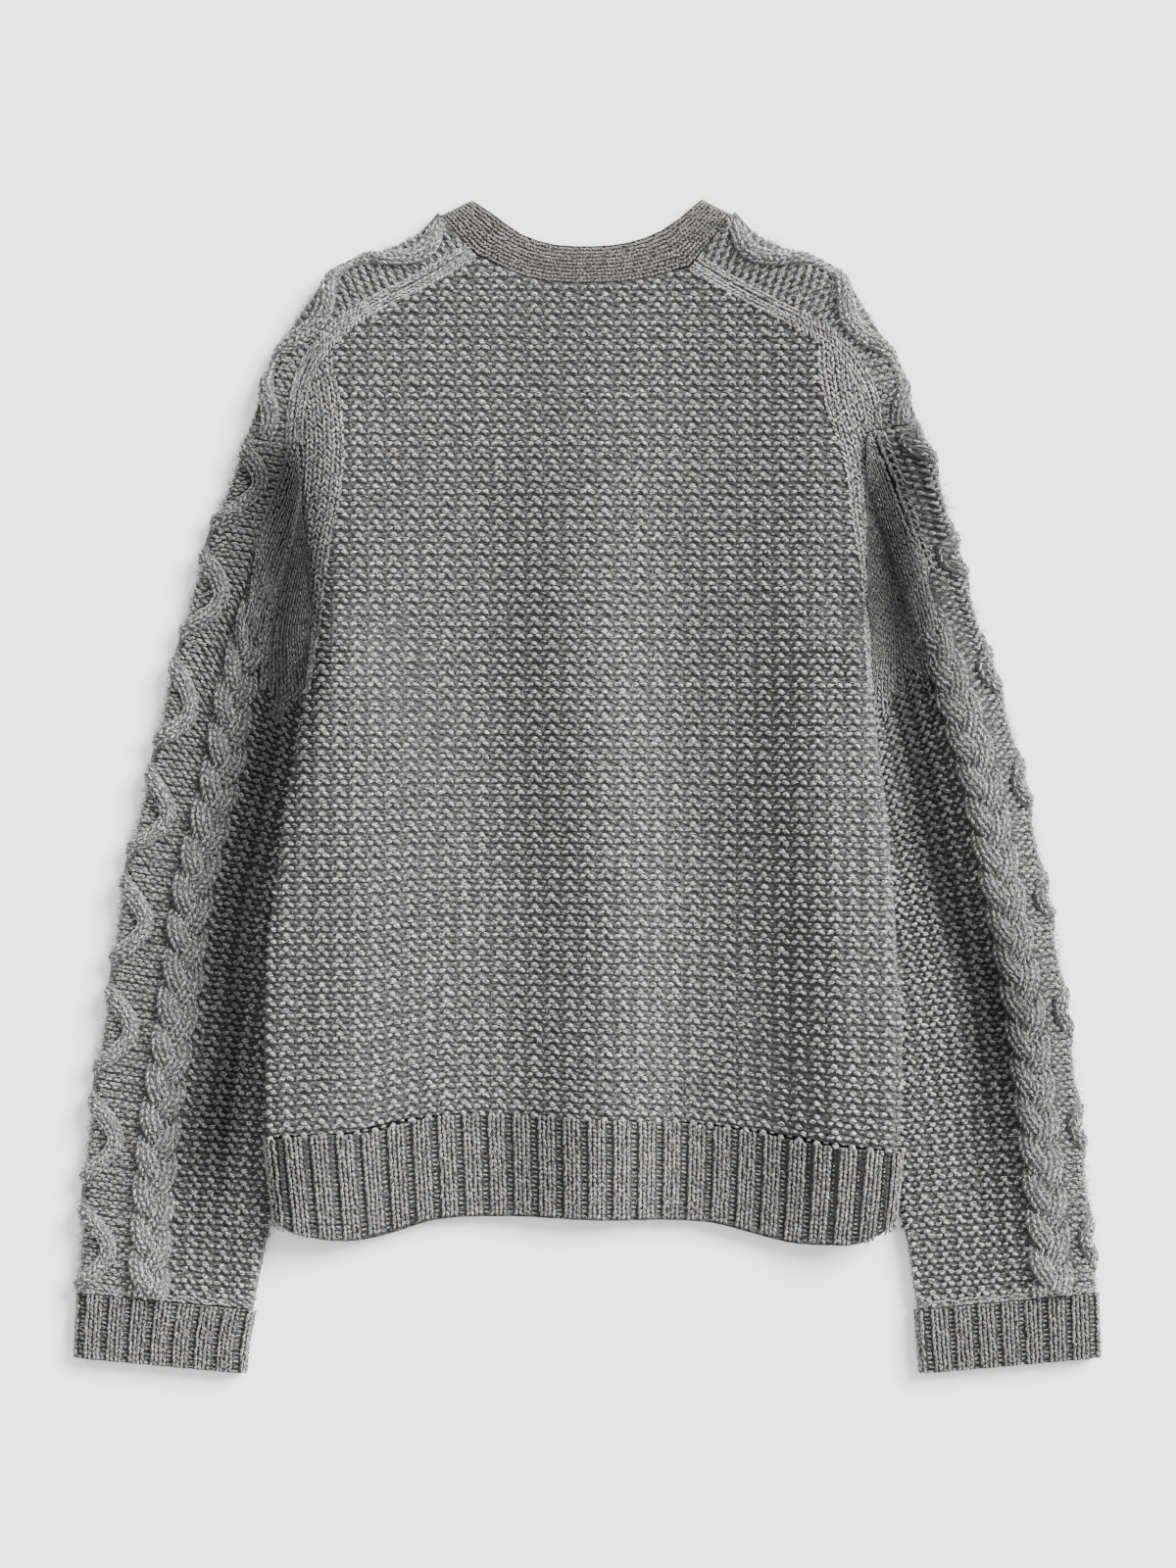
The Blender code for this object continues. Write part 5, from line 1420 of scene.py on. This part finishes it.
def knit_shoulder(side, materials):
    """The strip over a shoulder, seen with u across it and v along it to the neck."""
    knit = Knit()
    grid, widths, run = shoulder_grid(side)
    total = run[-1]
    strip = Place(lambda u, v: grid(v, u), 14.0, 0.5 * total)

    def wave(v):
        turn = 2.0 * np.pi * (v - total + SHOULDER_CREST) / SHOULDER_PERIOD
        return SHOULDER_WAVE + SHOULDER_SWING * np.cos(turn)

    def seam(v):
        return np.interp(v, run, widths)

    def sinking(v):
        """The strand goes into the seams at both ends of the strip."""
        return 0.6 - 3.2 * smoothstep((v - total + 16.0) / 14.0) - 2.0 * (1.0 - smoothstep(v / 12.0))

    def on_purl(u, v):
        return (np.abs(u - wave(v)) > WAVE_HALF) & (u < seam(v) - 8.0) & (u > -7.0) & (v < total - 1.0)

    strand_legs(knit, Strand(strip, wave, sinking, 0.0, total - 1.0, WAVE_HALF + 0.6, WAVE + 1.2))
    purl(knit, strip, np.arange(-8.0, 60.0, 0.5 * PURL), -1.0, total, on_purl)
    v = np.arange(-1.0, total, CHAIN_STITCH * 0.62)
    for k, away in enumerate(CHAIN_ROWS):
        lean = CHAIN_LEAN if k % 2 == 0 else -CHAIN_LEAN
        knit.add(strip, seam(v) - away, v, math.pi / 2.0 + lean, (0.6 * CHAIN_STITCH, 1.05, 2.1), LEAF)
    fuzz(knit, strip, (-8.0, 30.0), (0.0, total), 900)
    return finish_knit(knit, "front_" + side + "_stitches", materials)


def knit_neckband(materials):
    knit = Knit()
    grid, us, depth = neck_grid()
    rows = np.arange(1.0, depth, FINE_ROW)
    u, v = rows_and_columns(np.arange(0.5, us[-1], FINE_STITCH), rows)
    lean = np.repeat(np.where(np.arange(len(rows)) % 2 == 0, FINE_LEAN, -FINE_LEAN), len(u) // len(rows))
    knit.add(grid, u, v, lean, FINE_SIZE, LEAF)
    fuzz(knit, grid, (0.0, us[-1]), (0.0, depth), 500, 3.0)
    return finish_knit(knit, "neckband_stitches", materials)


# ---- the scene -----------------------------------------------------------
def add_camera():
    data = bpy.data.cameras.new("camera")
    data.sensor_width = 36.0
    data.lens = data.sensor_width * CAMERA_HEIGHT / FRAME_HEIGHT
    camera = bpy.data.objects.new("camera", data)
    camera.location = (*CAMERA_AT, CAMERA_HEIGHT + CLOTH_HEIGHT)
    bpy.context.scene.collection.objects.link(camera)
    bpy.context.scene.camera = camera


def add_floor():
    mesh = bpy.data.meshes.new("floor")
    corners = [(-FLOOR, -FLOOR, 0), (FLOOR, -FLOOR, 0), (FLOOR, FLOOR, 0), (-FLOOR, FLOOR, 0)]
    mesh.from_pydata(corners, [], [(0, 1, 2, 3)])
    floor = bpy.data.objects.new("floor", mesh)
    bpy.context.scene.collection.objects.link(floor)
    material, tree, shader = new_material("paper")
    paper = {"Base Color": (0.97, 0.97, 0.965, 1.0), "Roughness": 0.95, "Specular IOR Level": 0.1}
    feed(tree, shader, paper)
    mesh.materials.append(material)


def add_sun(name, way, spread, power):
    """A soft light from far away, on the side that way points to."""
    data = bpy.data.lights.new(name, "SUN")
    data.angle = spread
    data.energy = power
    lamp = bpy.data.objects.new(name, data)
    bpy.context.scene.collection.objects.link(lamp)
    lamp.rotation_mode = "QUATERNION"
    lamp.rotation_quaternion = (-Vector(way)).to_track_quat("-Z", "Y")


def add_world(strength):
    world = bpy.data.worlds.new("studio")
    world.use_nodes = True
    world.node_tree.nodes["Background"].inputs["Color"].default_value = (1.0, 1.0, 1.0, 1.0)
    world.node_tree.nodes["Background"].inputs["Strength"].default_value = strength
    bpy.context.scene.world = world


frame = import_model()
for other in list(bpy.data.objects):
    if other.type in ("CAMERA", "LIGHT"):
        bpy.data.objects.remove(other)
TOP_X = np.linspace(-175.0, 175.0, 176)     # along the upper edge of the back
TOP_Y = np.array([top_line_y(x) for x in TOP_X])
add_camera()
add_floor()
add_sun("window", WINDOW_WAY, WINDOW_SPREAD, WINDOW_POWER)
add_world(ROOM_LIGHT)

yarns = {name: yarn_material(name, *looks) for name, looks in YARNS.items()}
cloths = {name: cloth_material(name, *looks) for name, looks in CLOTHS.items()}
chunky = (yarns["chunky_yarn"], yarns["shade_painted_yarn"], cloths["strand_cloth"])
# The hem and cuffs take the darker rib yarn: painted shade.
ribs = (yarns["shade_painted_rib_yarn"],)
resin = button_material()
for node, solid in frame["nodes"].items():
    if node.startswith("button"):
        solid.data.materials.clear()
        solid.data.materials.append(resin)
    else:
        cloth_of(node, cloth_for(node))
stitches = {
    "back": knit_back(chunky),
    "hem_back": knit_hem(ribs),
    "neckband": knit_neckband((yarns["fine_yarn"],)),
}
for side in SIDES:
    stitches["sleeve_" + side] = knit_sleeve(side, chunky)
    stitches["cuff_" + side] = knit_cuff(side, ribs)
    stitches["front_" + side] = knit_shoulder(side, chunky)
